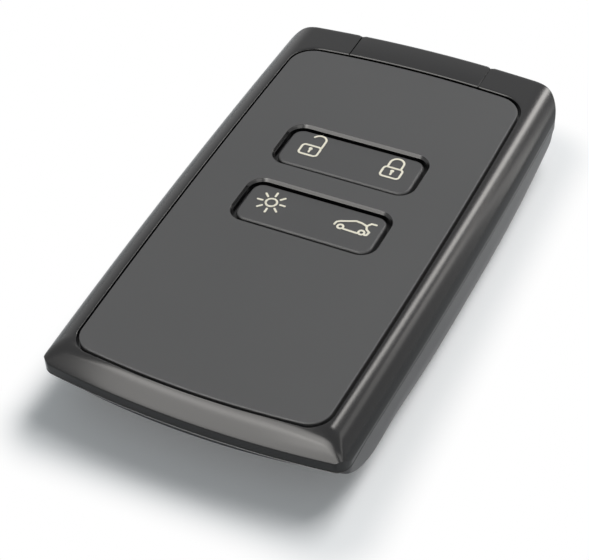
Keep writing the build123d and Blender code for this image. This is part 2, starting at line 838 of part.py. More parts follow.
# Wake-up antenna: a ferrite core with four lobes
antenna_bottom = board_bottom - antenna_height
with BuildPart() as antenna_core:
    with BuildSketch(Plane.XY.offset(antenna_bottom)):
        with Locations((antenna_x, antenna_y)):
            RectangleRounded(antenna_size, antenna_size, antenna_groove)
    extrude(amount=antenna_height)
    with BuildSketch(Plane.XY.offset(antenna_bottom + antenna_flange_height)):
        with Locations((antenna_x, antenna_y)):
            RectangleRounded(antenna_size * 2, antenna_size * 2, antenna_groove)
            core_size = antenna_size - 2 * antenna_groove
            RectangleRounded(core_size, core_size, antenna_groove, mode=Mode.SUBTRACT)
    extrude(amount=antenna_height - 2 * antenna_flange_height, mode=Mode.SUBTRACT)
antenna_core.part.label = "antenna_core"
export_step(antenna_core.part, "parts/antenna_core.step")

# The antenna's winding, which lies in the core's groove
with BuildPart() as antenna_coil:
    with BuildSketch(Plane.XY.offset(antenna_bottom + antenna_flange_height + coil_gap)):
        with Locations((antenna_x, antenna_y)):
            coil_inside = core_size + 2 * coil_gap
            coil_outside = coil_inside + 2 * coil_thickness
            RectangleRounded(coil_outside, coil_outside, antenna_groove + coil_gap + coil_thickness)
            RectangleRounded(coil_inside, coil_inside, antenna_groove + coil_gap, mode=Mode.SUBTRACT)
    extrude(amount=antenna_height - 2 * antenna_flange_height - 2 * coil_gap)
antenna_coil.part.label = "antenna_coil"
export_step(antenna_coil.part, "parts/antenna_coil.step")

# Coin cell, its smaller negative cap towards the board
with BuildPart() as battery:
    can_height = battery_height - battery_cap_height
    with BuildSketch(Plane.XY.offset(battery_bottom)):
        with Locations((0, battery_y)):
            Circle(battery_radius)
    extrude(amount=can_height)
    fillet(battery.faces().sort_by(Axis.Z)[0].edges(), battery_edge)
    with BuildSketch(Plane.XY.offset(battery_bottom + can_height)):
        with Locations((0, battery_y)):
            Circle(battery_cap_radius)
    extrude(amount=battery_cap_height)
battery.part.label = "battery"
export_step(battery.part, "parts/battery.step")

# Negative contact: a ring on the board whose three fingers press on the coin cell's cap
with BuildPart() as negative_contact:
    with BuildSketch(Plane.XY.offset(board_bottom - contact_sheet)):
        with Locations((0, battery_y)):
            Circle(contact_ring_radius)
            Circle(contact_ring_radius - contact_ring_width, mode=Mode.SUBTRACT)
    extrude(amount=contact_sheet)
    finger_root = contact_ring_radius - contact_ring_width / 2
    finger_tip = finger_root + contact_finger_length
    for number in range(contact_finger_count):
        turn = number * 360 / contact_finger_count
        flat = Plane((0, battery_y, 0)).rotated((0, 0, turn))
        upright = Plane(flat.origin, x_dir=flat.x_dir, z_dir=flat.y_dir)
        with BuildSketch(upright):
            with BuildLine():
                Polyline(
                    (finger_root, -board_bottom),
                    (finger_tip, -battery_top - contact_sheet),
                    (finger_tip, -battery_top),
                    (finger_root, contact_sheet - board_bottom),
                    close=True,
                )
            make_face()
        extrude(amount=contact_finger_width / 2, both=True)
negative_contact.part.label = "negative_contact"
export_step(negative_contact.part, "parts/negative_contact.step")

# Positive contact: a bent strip whose foot is soldered to the board beside the coin cell
with BuildPart() as positive_contact:
    strip_x = battery_radius + clip_gap
    with BuildSketch(Plane.XZ.offset(-battery_y)):
        with BuildLine():
            Polyline(
                (strip_x, board_bottom),
                (strip_x, battery_bottom),
                (strip_x + clip_sheet, battery_bottom),
                (strip_x + clip_sheet, board_bottom - clip_sheet),
                (strip_x + clip_sheet + clip_foot, board_bottom - clip_sheet),
                (strip_x + clip_sheet + clip_foot, board_bottom),
                close=True,
            )
        make_face()
    extrude(amount=clip_width / 2, both=True)
positive_contact.part.label = "positive_contact"
export_step(positive_contact.part, "parts/positive_contact.step")

# Inner frame: a rail round the board, a ring for the coin cell, a sleeve for the blade,
# and a box for the release button, joined by ribs
rail_bottom = board_bottom - frame_rail_height
rib_bottom = board_bottom - frame_rib_height
pocket_radius = battery_radius + battery_pocket_gap
sleeve_bottom = slot_bottom - channel_skin
sleeve_near_y = blade_tip_y - key_gap - channel_wall
latch_floor_bottom = latch_floor_top - latch_floor
with BuildSketch() as rib_rows:
    rib_ys = (near_y + battery_rib_inset, near_y + middle_rib_inset, far_y - latch_rib_inset)
    with Locations(*[(0, y) for y in rib_ys]):
        Rectangle(card_width, frame_rib_width)
with BuildPart() as inner_frame:
    with BuildSketch(Plane.XY.offset(rail_bottom)):
        add(board_outline(0))
        add(board_outline(frame_rail_width), mode=Mode.SUBTRACT)
    extrude(amount=frame_rail_height)
    with BuildSketch(Plane.XY.offset(rib_bottom)):
        add(board_outline(0))
        add(rib_rows.sketch, mode=Mode.INTERSECT)
    extrude(amount=frame_rib_height)
    with BuildSketch(Plane.XY.offset(battery_bottom - battery_skirt)):
        with Locations((0, battery_y)):
            Circle(pocket_radius + battery_wall)
    extrude(amount=board_bottom - battery_bottom + battery_skirt)
    with BuildSketch(Plane.XY.offset(sleeve_bottom)):
        with Locations((0, sleeve_near_y)):
            sleeve_length = bulkhead_near_y - sleeve_near_y
            Rectangle(2 * channel_half_width, sleeve_length, align=(Align.CENTER, Align.MIN))
    extrude(amount=board_bottom - sleeve_bottom)
    with BuildSketch(Plane.XY.offset(latch_floor_bottom)):
        with Locations((0, button_y)):
            Rectangle(2 * (latch_half_width + latch_wall), 2 * (latch_half_length + latch_wall))
    extrude(amount=board_bottom - latch_floor_bottom)
    with BuildSketch(Plane.XY.offset(board_bottom - ear_thickness)):
        with Locations(*boss_places):
            Circle(ear_radius)
    extrude(amount=ear_thickness)
    # the coin cell's pocket, open towards the rear cover, and the way for the positive contact
    clip_reach = battery_radius + clip_gap + clip_sheet + clip_foot + clip_room
    with BuildSketch():
        with Locations((0, battery_y)):
            Circle(pocket_radius)
            Rectangle(clip_reach, clip_width + 2 * clip_room, align=(Align.MIN, Align.CENTER))
    extrude(amount=board_bottom, mode=Mode.SUBTRACT)
    # the blade's slot
    with BuildSketch(Plane.XY.offset(slot_bottom)):
        with Locations((0, blade_tip_y - key_gap)):
            Rectangle(blade_width + 2 * blade_play, card_length, align=(Align.CENTER, Align.MIN))
    extrude(amount=slot_top - slot_bottom, mode=Mode.SUBTRACT)
    # the button's chamber, its arms' slots beside the blade, and the hole for its boss
    with BuildSketch(Plane.XY.offset(latch_floor_top)):
        with Locations((0, button_y)):
            Rectangle(2 * latch_half_width, 2 * latch_half_length)
    extrude(amount=latch_pocket_top - latch_floor_top, mode=Mode.SUBTRACT)
    with BuildSketch(Plane.XY.offset(latch_floor_top)):
        with Locations((0, button_y)):
            Rectangle(2 * latch_half_width, 2 * latch_half_length)
            Rectangle(2 * channel_half_width, 2 * latch_half_length, mode=Mode.SUBTRACT)
            Rectangle(2 * channel_half_width, button_arm_length + 2 * button_gap)
    extrude(amount=board_bottom - latch_floor_top, mode=Mode.SUBTRACT)
    with BuildSketch(Plane.XY.offset(latch_floor_bottom)):
        with Locations((0, button_y)):
            Rectangle(button_boss_width + 2 * button_gap, button_boss_length + 2 * button_gap)
    extrude(amount=latch_floor, mode=Mode.SUBTRACT)
    # screw holes, with room for the heads
    with BuildSketch():
        with Locations(*boss_places):
            Circle(screw_radius + screw_clearance)
    extrude(amount=board_bottom, mode=Mode.SUBTRACT)
    with BuildSketch():
        with Locations(*boss_places):
            Circle(screw_head_radius + screw_clearance)
    extrude(amount=board_bottom - ear_thickness, mode=Mode.SUBTRACT)
    add(belly_space(cover_floor + frame_gap), mode=Mode.INTERSECT)
inner_frame.part.label = "inner_frame"
export_step(inner_frame.part, "parts/inner_frame.step")

# Four screws, which hold the frame and the board to the bezel's bosses from behind
ear_bottom = board_bottom - ear_thickness
with BuildPart() as frame_screws:
    with BuildSketch(Plane.XY.offset(ear_bottom)):
        with Locations(*boss_places):
            Circle(screw_radius)
    extrude(amount=board_top + screw_bite - ear_bottom)
    with BuildSketch(Plane.XY.offset(ear_bottom - screw_head_height)):
        with Locations(*boss_places):
            Circle(screw_head_radius)
    extrude(amount=screw_head_height)
    with BuildSketch(Plane.XY.offset(ear_bottom - screw_head_height)):
        with Locations(*boss_places):
            Rectangle(2 * screw_radius, screw_slot_width)
            Rectangle(screw_slot_width, 2 * screw_radius)
    extrude(amount=screw_slot_depth, mode=Mode.SUBTRACT)
frame_screws.part.label = "frame_screws"
export_step(frame_screws.part, "parts/frame_screws.step")

# Rear cover: the matte tray under the seam, with a tongue that locates in the bezel,
# four clip tabs, the notch for the key's head and the hole for the release button
with BuildPart() as rear_cover:
    add(lower_form())
    with BuildPart(mode=Mode.PRIVATE) as cavity:
        with BuildSketch():
            add(card_outline(cover_wall))
        extrude(amount=seam_height)
        add(belly_space(cover_floor), mode=Mode.INTERSECT)
    add(cavity.part, mode=Mode.SUBTRACT)
    with BuildSketch(Plane.XY.offset(seam_height)):
        add(card_outline(rebate_land + tongue_gap))
        add(card_outline(cover_wall), mode=Mode.SUBTRACT)
        with Locations((0, bulkhead_near_y - tongue_gap)):
            Rectangle(
                2 * (notch_half_width + bulkhead_thickness + tongue_gap),
                card_length,
                align=(Align.CENTER, Align.MIN),
                mode=Mode.SUBTRACT,
            )
    extrude(amount=tongue_height)
    for clip_y in (near_y + clip_tab_inset, far_y - clip_tab_inset):
        tab_outside = side_x(clip_y) - bezel_wall - tongue_gap - clip_bow_room
        for side in (-1, 1):
            with BuildSketch(Plane.XY.offset(seam_height - clip_tab_root)):
                with Locations((side * (tab_outside - clip_tab_thickness), clip_y)):
                    reach = clip_tab_thickness + bezel_wall - cover_wall + 2 * tongue_gap
                    alignment = Align.MIN if side > 0 else Align.MAX
                    Rectangle(reach, clip_tab_length, align=(alignment, Align.CENTER))
            extrude(amount=clip_tab_root)
            with BuildSketch(Plane.XY.offset(seam_height)):
                with Locations((side * (tab_outside - clip_tab_thickness / 2), clip_y)):
                    Rectangle(clip_tab_thickness, clip_tab_length)
            extrude(amount=clip_tab_rise)
    with BuildSketch():
        with Locations((0, notch_near_y)):
            Rectangle(2 * notch_half_width, card_length, align=(Align.CENTER, Align.MIN))
    extrude(amount=card_height, mode=Mode.SUBTRACT)
    with BuildSketch():
        with Locations((0, button_y)):
            RectangleRounded(
                button_boss_width + 2 * button_gap, button_boss_length + 2 * button_gap, button_boss_corner
            )
    extrude(amount=seam_height, mode=Mode.SUBTRACT)
rear_cover.part.label = "rear_cover"
export_step(rear_cover.part, "parts/rear_cover.step")

# Emergency key's head: the end of the card between the two seams, flush all round
tang_end_y = head_near_y + blade_tang
pin_y = head_near_y + key_pin_inset
head_half_width = notch_half_width - key_gap
with BuildPart() as key_head:
    add(upper_form())
    add(lower_form())
    with BuildSketch():
        with Locations((0, head_near_y)):
            Rectangle(2 * head_half_width, card_length, align=(Align.CENTER, Align.MIN))
    extrude(amount=card_height, mode=Mode.INTERSECT)
    with BuildSketch(Plane.XY.offset(panel_bottom - key_gap)):
        add(panel_outline(panel_gap))
    extrude(amount=card_height, mode=Mode.SUBTRACT)
    with BuildSketch(Plane.XY.offset(blade_bottom)):
        with Locations((0, tang_end_y)):
            Rectangle(blade_width, card_length, align=(Align.CENTER, Align.MAX))
    extrude(amount=blade_thickness, mode=Mode.SUBTRACT)
    with BuildSketch():
        with Locations((0, pin_y)):
            Circle(key_pin_radius + key_pin_gap)
    extrude(amount=key_pin_bottom + key_pin_height, mode=Mode.SUBTRACT)
key_head.part.label = "key_head"
export_step(key_head.part, "parts/key_head.step")

# Blade: a flat bar with a milled groove on both faces, a pointed tip and a notch on each edge
blade_length = tang_end_y - blade_tip_y
with BuildPart() as key_blade:
    with BuildSketch(Plane.XY.offset(blade_bottom)):
        with Locations((0, blade_tip_y)):
            Rectangle(blade_width, blade_length, align=(Align.CENTER, Align.MIN))
    extrude(amount=blade_thickness)
    tip_edges = key_blade.edges().filter_by(Axis.Z).group_by(Axis.Y)[0]
    chamfer(tip_edges, blade_tip_chamfer)
    groove_length = head_near_y - blade_groove_stop - blade_tip_y
    for groove_height in (blade_bottom, blade_top - blade_groove_depth):
        with BuildSketch(Plane.XY.offset(groove_height)):
            with Locations((0, blade_tip_y)):
                Rectangle(blade_groove_width, groove_length, align=(Align.CENTER, Align.MIN))
        extrude(amount=blade_groove_depth, mode=Mode.SUBTRACT)
    with BuildSketch(Plane.XY.offset(blade_top - blade_notch_height)):
        for side in (-1, 1):
            with Locations((side * (blade_width - blade_notch_depth) / 2, button_y)):
                Rectangle(blade_notch_depth, blade_notch_length)
    extrude(amount=blade_notch_height, mode=Mode.SUBTRACT)
    with BuildSketch(Plane.XY.offset(blade_bottom)):
        with Locations((0, pin_y)):
            Circle(key_pin_radius + key_pin_gap)
    extrude(amount=blade_thickness, mode=Mode.SUBTRACT)
key_blade.part.label = "key_blade"
export_step(key_blade.part, "parts/key_blade.step")

# Pin that holds the blade's tang in the head
with BuildPart() as key_pin:
    with BuildSketch(Plane.XY.offset(key_pin_bottom)):
        with Locations((0, pin_y)):
            Circle(key_pin_radius)
    extrude(amount=key_pin_height)
key_pin.part.label = "key_pin"
export_step(key_pin.part, "parts/key_pin.step")

# Release button: a boss that shows in the rear cover, a flange on the frame's floor,
# and two arms whose teeth stand beside the blade's notches
button_bottom = belly_height(button_y + button_boss_length / 2) + button_recess
tooth_bottom = blade_top - tooth_height - button_arm_top_gap
with BuildPart() as release_button:
    with BuildSketch(Plane.XY.offset(button_bottom)):
        with Locations((0, button_y)):
            RectangleRounded(button_boss_width, button_boss_length, button_boss_corner)
    extrude(amount=latch_floor_top - button_bottom)
    with BuildSketch(Plane.XY.offset(latch_floor_top)):
        with Locations((0, button_y)):
            Rectangle(2 * button_flange_half_width, button_flange_length)
    extrude(amount=button_flange_thickness)
    flange_top = latch_floor_top + button_flange_thickness
    tooth_x = blade_width / 2 + tooth_gap
    arm_outside = channel_half_width - button_gap
    arm_inside = arm_outside - button_arm_thickness
    for side in (-1, 1):
        with BuildSketch(Plane.XY.offset(flange_top)):
            with Locations((side * (arm_inside + arm_outside) / 2, button_y)):
                Rectangle(button_arm_thickness, button_arm_length)
        extrude(amount=blade_top - button_arm_top_gap - flange_top)
        with BuildSketch(Plane.XY.offset(tooth_bottom)):
            with Locations((side * (tooth_x + arm_outside) / 2, button_y)):
                Rectangle(arm_outside - tooth_x, button_arm_length)
        extrude(amount=tooth_height)
    with BuildSketch(Plane.XY.offset(flange_top)):
        with Locations((-spring_x, button_y), (spring_x, button_y)):
            Circle(spring_peg_radius)
    extrude(amount=spring_peg_height)
release_button.part.label = "release_button"
export_step(release_button.part, "parts/release_button.step")

# Two coil springs between the button's flange and the board
spring_bottom = flange_top + spring_seat_gap + spring_wire_radius
spring_height = board_bottom - spring_seat_gap - spring_wire_radius - spring_bottom
with BuildPart() as release_springs:
    for side in (-1, 1):
        with BuildLine():
            coil = Helix(
                spring_height / spring_turns,
                spring_height,
                spring_radius,
                center=(side * spring_x, button_y, spring_bottom),
            )
        with BuildSketch(Plane(coil @ 0, z_dir=coil % 0)):
            Circle(spring_wire_radius)
        sweep(path=coil, is_frenet=True)
release_springs.part.label = "release_springs"
export_step(release_springs.part, "parts/release_springs.step")
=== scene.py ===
import json
from math import acos, atan2, cos, hypot, pi, radians, sin, sqrt, tan, tau

import bmesh
import bpy
from bpy.props import FloatProperty, FloatVectorProperty, IntProperty, PointerProperty
from mathutils import Matrix, Vector

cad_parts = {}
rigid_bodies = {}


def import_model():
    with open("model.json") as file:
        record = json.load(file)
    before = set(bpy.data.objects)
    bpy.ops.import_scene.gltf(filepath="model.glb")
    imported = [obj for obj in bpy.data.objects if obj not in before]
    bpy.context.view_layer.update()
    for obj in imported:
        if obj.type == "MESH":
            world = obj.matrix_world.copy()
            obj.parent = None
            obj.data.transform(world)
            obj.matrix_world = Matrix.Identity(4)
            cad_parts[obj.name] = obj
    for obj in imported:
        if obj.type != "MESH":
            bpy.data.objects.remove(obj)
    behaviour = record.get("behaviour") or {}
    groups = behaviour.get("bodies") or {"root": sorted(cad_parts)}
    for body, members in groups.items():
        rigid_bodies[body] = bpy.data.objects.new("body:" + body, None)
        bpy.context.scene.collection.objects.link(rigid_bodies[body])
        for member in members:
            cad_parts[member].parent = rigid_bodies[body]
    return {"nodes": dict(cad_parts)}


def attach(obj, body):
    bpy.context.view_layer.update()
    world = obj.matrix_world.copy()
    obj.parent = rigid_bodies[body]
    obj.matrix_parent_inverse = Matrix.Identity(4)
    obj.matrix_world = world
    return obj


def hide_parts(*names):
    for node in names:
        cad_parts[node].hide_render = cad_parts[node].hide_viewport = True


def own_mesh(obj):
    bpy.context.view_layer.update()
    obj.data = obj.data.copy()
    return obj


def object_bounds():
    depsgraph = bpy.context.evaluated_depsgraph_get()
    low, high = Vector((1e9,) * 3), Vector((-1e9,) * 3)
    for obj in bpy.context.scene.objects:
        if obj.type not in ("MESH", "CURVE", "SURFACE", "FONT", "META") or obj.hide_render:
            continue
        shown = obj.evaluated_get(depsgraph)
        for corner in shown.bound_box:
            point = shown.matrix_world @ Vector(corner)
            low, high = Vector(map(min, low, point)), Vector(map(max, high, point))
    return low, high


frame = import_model()
cad_low, cad_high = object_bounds()

bl_info = {
    "name": "Car key card",
    "version": (1, 0, 0),
    "blender": (4, 5, 0),
    "location": "View3D > Sidebar > Key card",
    "description": "Builds a hands-free car key card with its studio, piece by piece",
    "category": "Object",
}

MM = 0.001
SHARP_ANGLE = radians(32.0)

# The card's fixed measures, in millimetres
FAR_PART_Y = 30.0
WINDOW_Y, WINDOW_CORNER = 11.15, 2.6
WALL_THICKNESS = 2.0
LEDGE_WIDTH, LEDGE_THICKNESS = 2.0, 1.0
NOTCH_Y, BULKHEAD_Y = 34.3, 33.1
VEE_WIDTH, VEE_DEPTH = 0.5, 0.25
BOSS_X, BOSS_YS = 17.8, (-29.0, 27.5)
FLAT_START_Y, FLAT_END_Y = -6.0, 10.0
BELLY_NEAR_ARC, BELLY_FAR_ARC = 172.0, 155.0


def length_of(name, description, default):
    """A length that a user may change, in metres."""
    return FloatProperty(
        name=name, description=description, default=default, unit="LENGTH", precision=5
    )


def colour_of(name, description, default):
    """A colour that a user may change."""
    return FloatVectorProperty(
        name=name, description=description, default=default, subtype="COLOR", size=3, min=0.0, max=1.0
    )


class KeyCardSizes(bpy.types.PropertyGroup):
    """The card's own sizes."""

    card_width: length_of("Card width", "Width at the widest place", cad_high.x - cad_low.x)
    card_length: length_of("Card length", "Length along the middle", cad_high.y - cad_low.y)
    card_height: length_of("Card height", "Height of the front panel's face", 0.0125)
    bezel_top: length_of("Bezel top", "Height of the bezel's edge at the groove", 0.01238)
    seam_height: length_of("Seam height", "Height of the bezel's seam with the cover", 0.0084)
    side_rim: length_of("Side rim", "Rounding of the sides' rim", 0.0004)
    near_rim: length_of("Near rim", "Rounding of the near end's rim", 0.0005)
    panel_rounding: length_of("Panel rounding", "Rounding of the panel's edge", 0.0002)
    far_rounding: length_of("Far rounding", "Rounding of the far edge", 0.0009)
    groove: length_of("Groove", "Gap between bezel and panel", 0.00032)
    far_groove: length_of("Far groove", "That gap at the far end", 0.00068)
    groove_edge: length_of("Groove edge", "Rounding of the bezel at the groove", 0.00024)
    panel_width: length_of("Panel width", "Width of the front panel", 0.038)
    panel_length: length_of("Panel length", "Length of the front panel", 0.0727)
    panel_thickness: length_of("Panel thickness", "Thickness of the front panel", 0.0012)
    window_width: length_of("Window width", "Width of a window", 0.0228)
    window_height: length_of("Window height", "Height of a window", 0.0097)
    window_pitch: length_of("Window pitch", "Distance between the windows' middles", 0.01345)
    pad_recess: length_of("Pad recess", "How far the pads lie under the panel's face", 0.0004)
    pad_rounding: length_of("Pad rounding", "Rounding of the pads' edges", 0.00045)
    notch_half_width: length_of("Notch half width", "Half the key head's notch", 0.01095)


class KeyCardColours(bpy.types.PropertyGroup):
    """The colours of the card's finishes."""

    bezel: colour_of("Bezel", "Glossy black of the bezel", (0.0045, 0.0045, 0.005))
    panel: colour_of("Panel", "Matte grey of the panel", (0.050, 0.050, 0.051))
    rocker: colour_of("Rockers", "Matte grey of the rockers", (0.044, 0.044, 0.045))
    ink: colour_of("Symbols", "Cream of the printed symbols", (0.95, 0.89, 0.73))
    cover: colour_of("Rear cover", "Dark grey of the rear cover", (0.030, 0.030, 0.032))
    board: colour_of("Circuit board", "Green of the board's lacquer", (0.010, 0.085, 0.035))
    carrier: colour_of("Carrier", "Black of the inner plastic", (0.020, 0.020, 0.021))
    rubber: colour_of("Rubber", "Grey of the keypad's silicone", (0.22, 0.22, 0.215))
    copper: colour_of("Copper", "Lacquered copper of the winding", (0.72, 0.30, 0.13))
    steel: colour_of("Steel", "Bright steel", (0.60, 0.60, 0.59))


class KeyCardStudio(bpy.types.PropertyGroup):
    """The lamps and the room's light."""

    room_light: FloatProperty(name="Room light", description="World strength", default=0.26, min=0.0)
    lamp_level: FloatProperty(
        name="Lamp level", description="Factor on every lamp's strength", default=1.0, min=0.0
    )
    floor_lift: FloatProperty(
        name="Floor lift", description="Light that the floor itself adds", default=0.11
    )
    seed: IntProperty(name="Seed", description="Seed of everything random", default=7, min=0)


def sizes():
    """The card's sizes in millimetres, as plain numbers."""
    group = bpy.context.scene.key_card_sizes
    return {name: getattr(group, name) / MM for name in KeyCardSizes.__annotations__}


# Plan shapes


class Outline:
    """A plan shape of four wide arcs with rounded corners, the same on both sides of the middle."""

    least_corner = 0.6

    def __init__(self, half_width, widest_y, far_y, near_y, arcs, corners):
        self.half_width, self.widest_y = half_width, widest_y
        self.far_y, self.near_y = far_y, near_y
        self.side_arc, self.far_arc, self.near_arc = arcs
        self.far_corner, self.near_corner = corners

    def grown(self, growth):
        """The same shape with every edge moved outwards by growth."""
        arcs = (self.side_arc, self.far_arc, self.near_arc)
        corners = (self.far_corner, self.near_corner)
        return Outline(
            self.half_width + growth,
            self.widest_y,
            self.far_y + growth,
            self.near_y - growth,
            [arc + growth for arc in arcs],
            [max(corner + growth, self.least_corner) for corner in corners],
        )

    def end_arc(self, far):
        return self.far_arc if far else self.near_arc

    def side_centre(self):
        return Vector((self.half_width - self.side_arc, self.widest_y))

    def end_centre(self, far):
        return Vector((0.0, self.far_y - self.far_arc if far else self.near_y + self.near_arc))

    def from_side(self, point):
        """How far a point lies inside the nearer side's arc."""
        centre = self.side_centre()
        return self.side_arc - hypot(abs(point.x) - centre.x, point.y - centre.y)

    def from_end(self, point, far=False):
        """How far a point lies inside an end's arc."""
        return self.end_arc(far) - hypot(point.x, point.y - self.end_centre(far).y)

    def corner(self, far):
        """A right-hand corner's centre, radius, and its angles at the end and at the side."""
        radius = self.far_corner if far else self.near_corner
        side, end = self.side_centre(), self.end_centre(far)
        side_reach, end_reach = self.side_arc - radius, self.end_arc(far) - radius
        between = end - side
        gap = between.length
        along = (side_reach**2 - end_reach**2 + gap**2) / (2 * gap)
        across = sqrt(max(side_reach**2 - along**2, 0.0))
        ahead = between / gap
        sideways = Vector((-ahead.y, ahead.x))
        places = [side + ahead * along + sideways * across * sign for sign in (-1, 1)]
        centre = max(places, key=lambda place: place.y if far else -place.y)
        to_end, to_side = centre - end, centre - side
        return centre, radius, atan2(to_end.y, to_end.x), atan2(to_side.y, to_side.x)

    def side_x(self, y):
        centre = self.side_centre()
        return centre.x + sqrt(self.side_arc**2 - (y - centre.y) ** 2)

    def end_y(self, x, far):
        return self.end_centre(far).y + (1 if far else -1) * sqrt(self.end_arc(far) ** 2 - x**2)

    def at(self, part, share, start_x=0.0):
        """A point of the right half: the edge that part names, at a share from its far end."""
        if part in ("far_corner", "near_corner"):
            centre, radius, end_angle, side_angle = self.corner(part == "far_corner")
            if part == "near_corner":
                end_angle, side_angle = side_angle, end_angle
            angle = end_angle + (side_angle - end_angle) * share
            return Vector((centre.x + radius * cos(angle), centre.y + radius * sin(angle)))
        far_centre, far_radius, far_end, far_side = self.corner(True)
        near_centre, near_radius, near_end, near_side = self.corner(False)
        if part == "far":
            x = start_x + (far_centre.x + far_radius * cos(far_end) - start_x) * share
            return Vector((x, self.end_y(x, True)))
        if part == "near":
            x = (near_centre.x + near_radius * cos(near_end)) * (1 - share)
            return Vector((x, self.end_y(x, False)))
        start = far_centre.y + far_radius * sin(far_side)
        end = near_centre.y + near_radius * sin(near_side)
        y = start + (end - start) * share
        return Vector((self.side_x(y), y))


def card_plan(s):
    """The card seen from above."""
    half = s["card_length"] / 2
    arcs, corners = (1300.0, 170.0, 150.0), (5.2, 2.2)
    return Outline(s["card_width"] / 2, 15.0, half, -half, arcs, corners)


def panel_plan(s):
    """The front panel seen from above."""
    centre, half = -1.95, s["panel_length"] / 2
    arcs, corners = (1300.0, 150.0, 132.0), (4.0, 3.2)
    return Outline(s["panel_width"] / 2, 11.0, centre + half, centre - half, arcs, corners)


def recess_plan(s):
    """The bezel's opening seen from above: the panel and its groove, wider at the far end."""
    plan = panel_plan(s).grown(s["groove"])
    plan.far_y += s["far_groove"] - s["groove"]
    return plan


def half_stations():
    """Places round the right half of a plan shape, from the far end's middle to the near end's."""
    places = [("far", 1 - (1 - k / 16) ** 1.3) for k in range(16)]
    places += [("far_corner", k / 28) for k in range(28)]
    places += [("side", (1 - cos(pi * k / 56)) / 2) for k in range(56)]
    places += [("near_corner", k / 30) for k in range(30)]
    places += [("near", 1 - cos(pi / 2 * k / 36)) for k in range(36)]
    return places + [("near", 1.0)]


def open_loop(outline, start_x):
    """Points round a plan shape, from the far end's right-hand start to its left-hand one."""
    right = [outline.at(part, share, start_x) for part, share in half_stations()]
    return right + [Vector((-point.x, point.y)) for point in reversed(right[:-1])]


def whole_loop(outline):
    """Points all the way round a plan shape."""
    return open_loop(outline, 0.0)[:-1]


def rounded_box(width, height, radius, centre_y):
    """Points round a rectangle with rounded corners about the place (0, centre_y)."""
    points, steps = [], 10
    for quarter, (sign_x, sign_y) in enumerate(((1, 1), (-1, 1), (-1, -1), (1, -1))):
        for step in range(steps + 1):
            angle = pi / 2 * (quarter + step / steps)
            x = sign_x * (width / 2 - radius) + radius * cos(angle)
            y = sign_y * (height / 2 - radius) + radius * sin(angle)
            points.append(Vector((x, y + centre_y)))
    return points


def window_places():
    """The two windows' places along the card, in millimetres."""
    pitch = bpy.context.scene.key_card_sizes.window_pitch / MM
    return (WINDOW_Y - pitch, WINDOW_Y)


# Heights


def eased(depth, radius):
    """How far a rounded edge lies under its flat, at a depth from the edge."""
    if depth >= radius:
        return 0.0
    reach = radius - max(depth, 0.0)
    return radius - sqrt(max(radius**2 - reach**2, 0.0))


def softest(first, second, softness):
    """The lower of two heights, with the crease between them softened."""
    share = max(softness - abs(first - second), 0.0) / softness
    return min(first, second) - share**2 * softness / 4


def smooth_step(low, high, value):
    share = max(0.0, min(1.0, (value - low) / (high - low)))
    return share * share * (3 - 2 * share)


class Shoulder:
    """A shoulder's section: a wide arc down from the band, then a tight rounding to the rim."""

    def __init__(self, span, top_tilt, foot_tilt, rim):
        self.span, self.rim = span, rim
        self.top_tilt, self.foot_tilt = radians(top_tilt), radians(foot_tilt)
        self.rim_span = rim * (1 - sin(self.foot_tilt))
        self.wide = (span - self.rim_span) / (sin(self.foot_tilt) - sin(self.top_tilt))

    def drop(self, depth):
        """How far the face lies under the band's inner end, at a depth inside the rim."""
        if depth >= self.span:
            return (self.span - depth) * tan(self.top_tilt)
        if depth >= self.rim_span:
            lean = sin(self.foot_tilt) - (depth - self.rim_span) / self.wide
            return self.wide * (cos(self.top_tilt) - sqrt(max(1 - lean**2, 0.0)))
        whole = self.wide * (cos(self.top_tilt) - cos(self.foot_tilt))
        lean = min(1.0, 1 - max(depth, 0.0) / self.rim)
        return whole + self.rim * (cos(self.foot_tilt) - sqrt(1 - lean**2))


class Crown:
    """The bezel's outer face: the far band, both sides' shoulders and the near slope, blended."""

    mitre_softness, far_softness = 1.3, 0.12
    far_start_y, far_whole_y = 20.0, 36.0

    def __init__(self, s):
        self.plan = card_plan(s)
        self.top = s["bezel_top"]
        self.side = Shoulder(span=4.0, top_tilt=8.0, foot_tilt=73.0, rim=s["side_rim"])
        self.near = Shoulder(span=2.35, top_tilt=40.0, foot_tilt=63.0, rim=s["near_rim"])
        self.rounding = s["far_rounding"]

    def height(self, point, distance):
        """The outer face's height at a point, at a distance from the outer edge."""
        side = self.top - self.side.drop(self.plan.from_side(point))
        near = self.top - self.near.drop(self.plan.from_end(point))
        slopes = softest(side, near, self.mitre_softness)
        far_share = smooth_step(self.far_start_y, self.far_whole_y, point.y)
        edge = eased(distance, self.rounding) * far_share
        return softest(min(slopes, self.top), self.top - edge, self.far_softness)


def seam_dip(plan, point):
    """How far the seam runs lower at a place, which it does at the near end."""
    return 0.6 * smooth_step(7.0, 0.0, plan.from_end(point))


def belly_height(y):
    """How far the belly stands above the table at y: a flat to rest on, and an arc to each end."""
    if y > FLAT_END_Y:
        return BELLY_FAR_ARC - sqrt(BELLY_FAR_ARC**2 - (y - FLAT_END_Y) ** 2)
    if y < FLAT_START_Y:
        return BELLY_NEAR_ARC - sqrt(BELLY_NEAR_ARC**2 - (y - FLAT_START_Y) ** 2)
    return 0.0


# Mesh making


def linked(thing):
    """Puts an object into the scene."""
    bpy.context.scene.collection.objects.link(thing)
    return thing


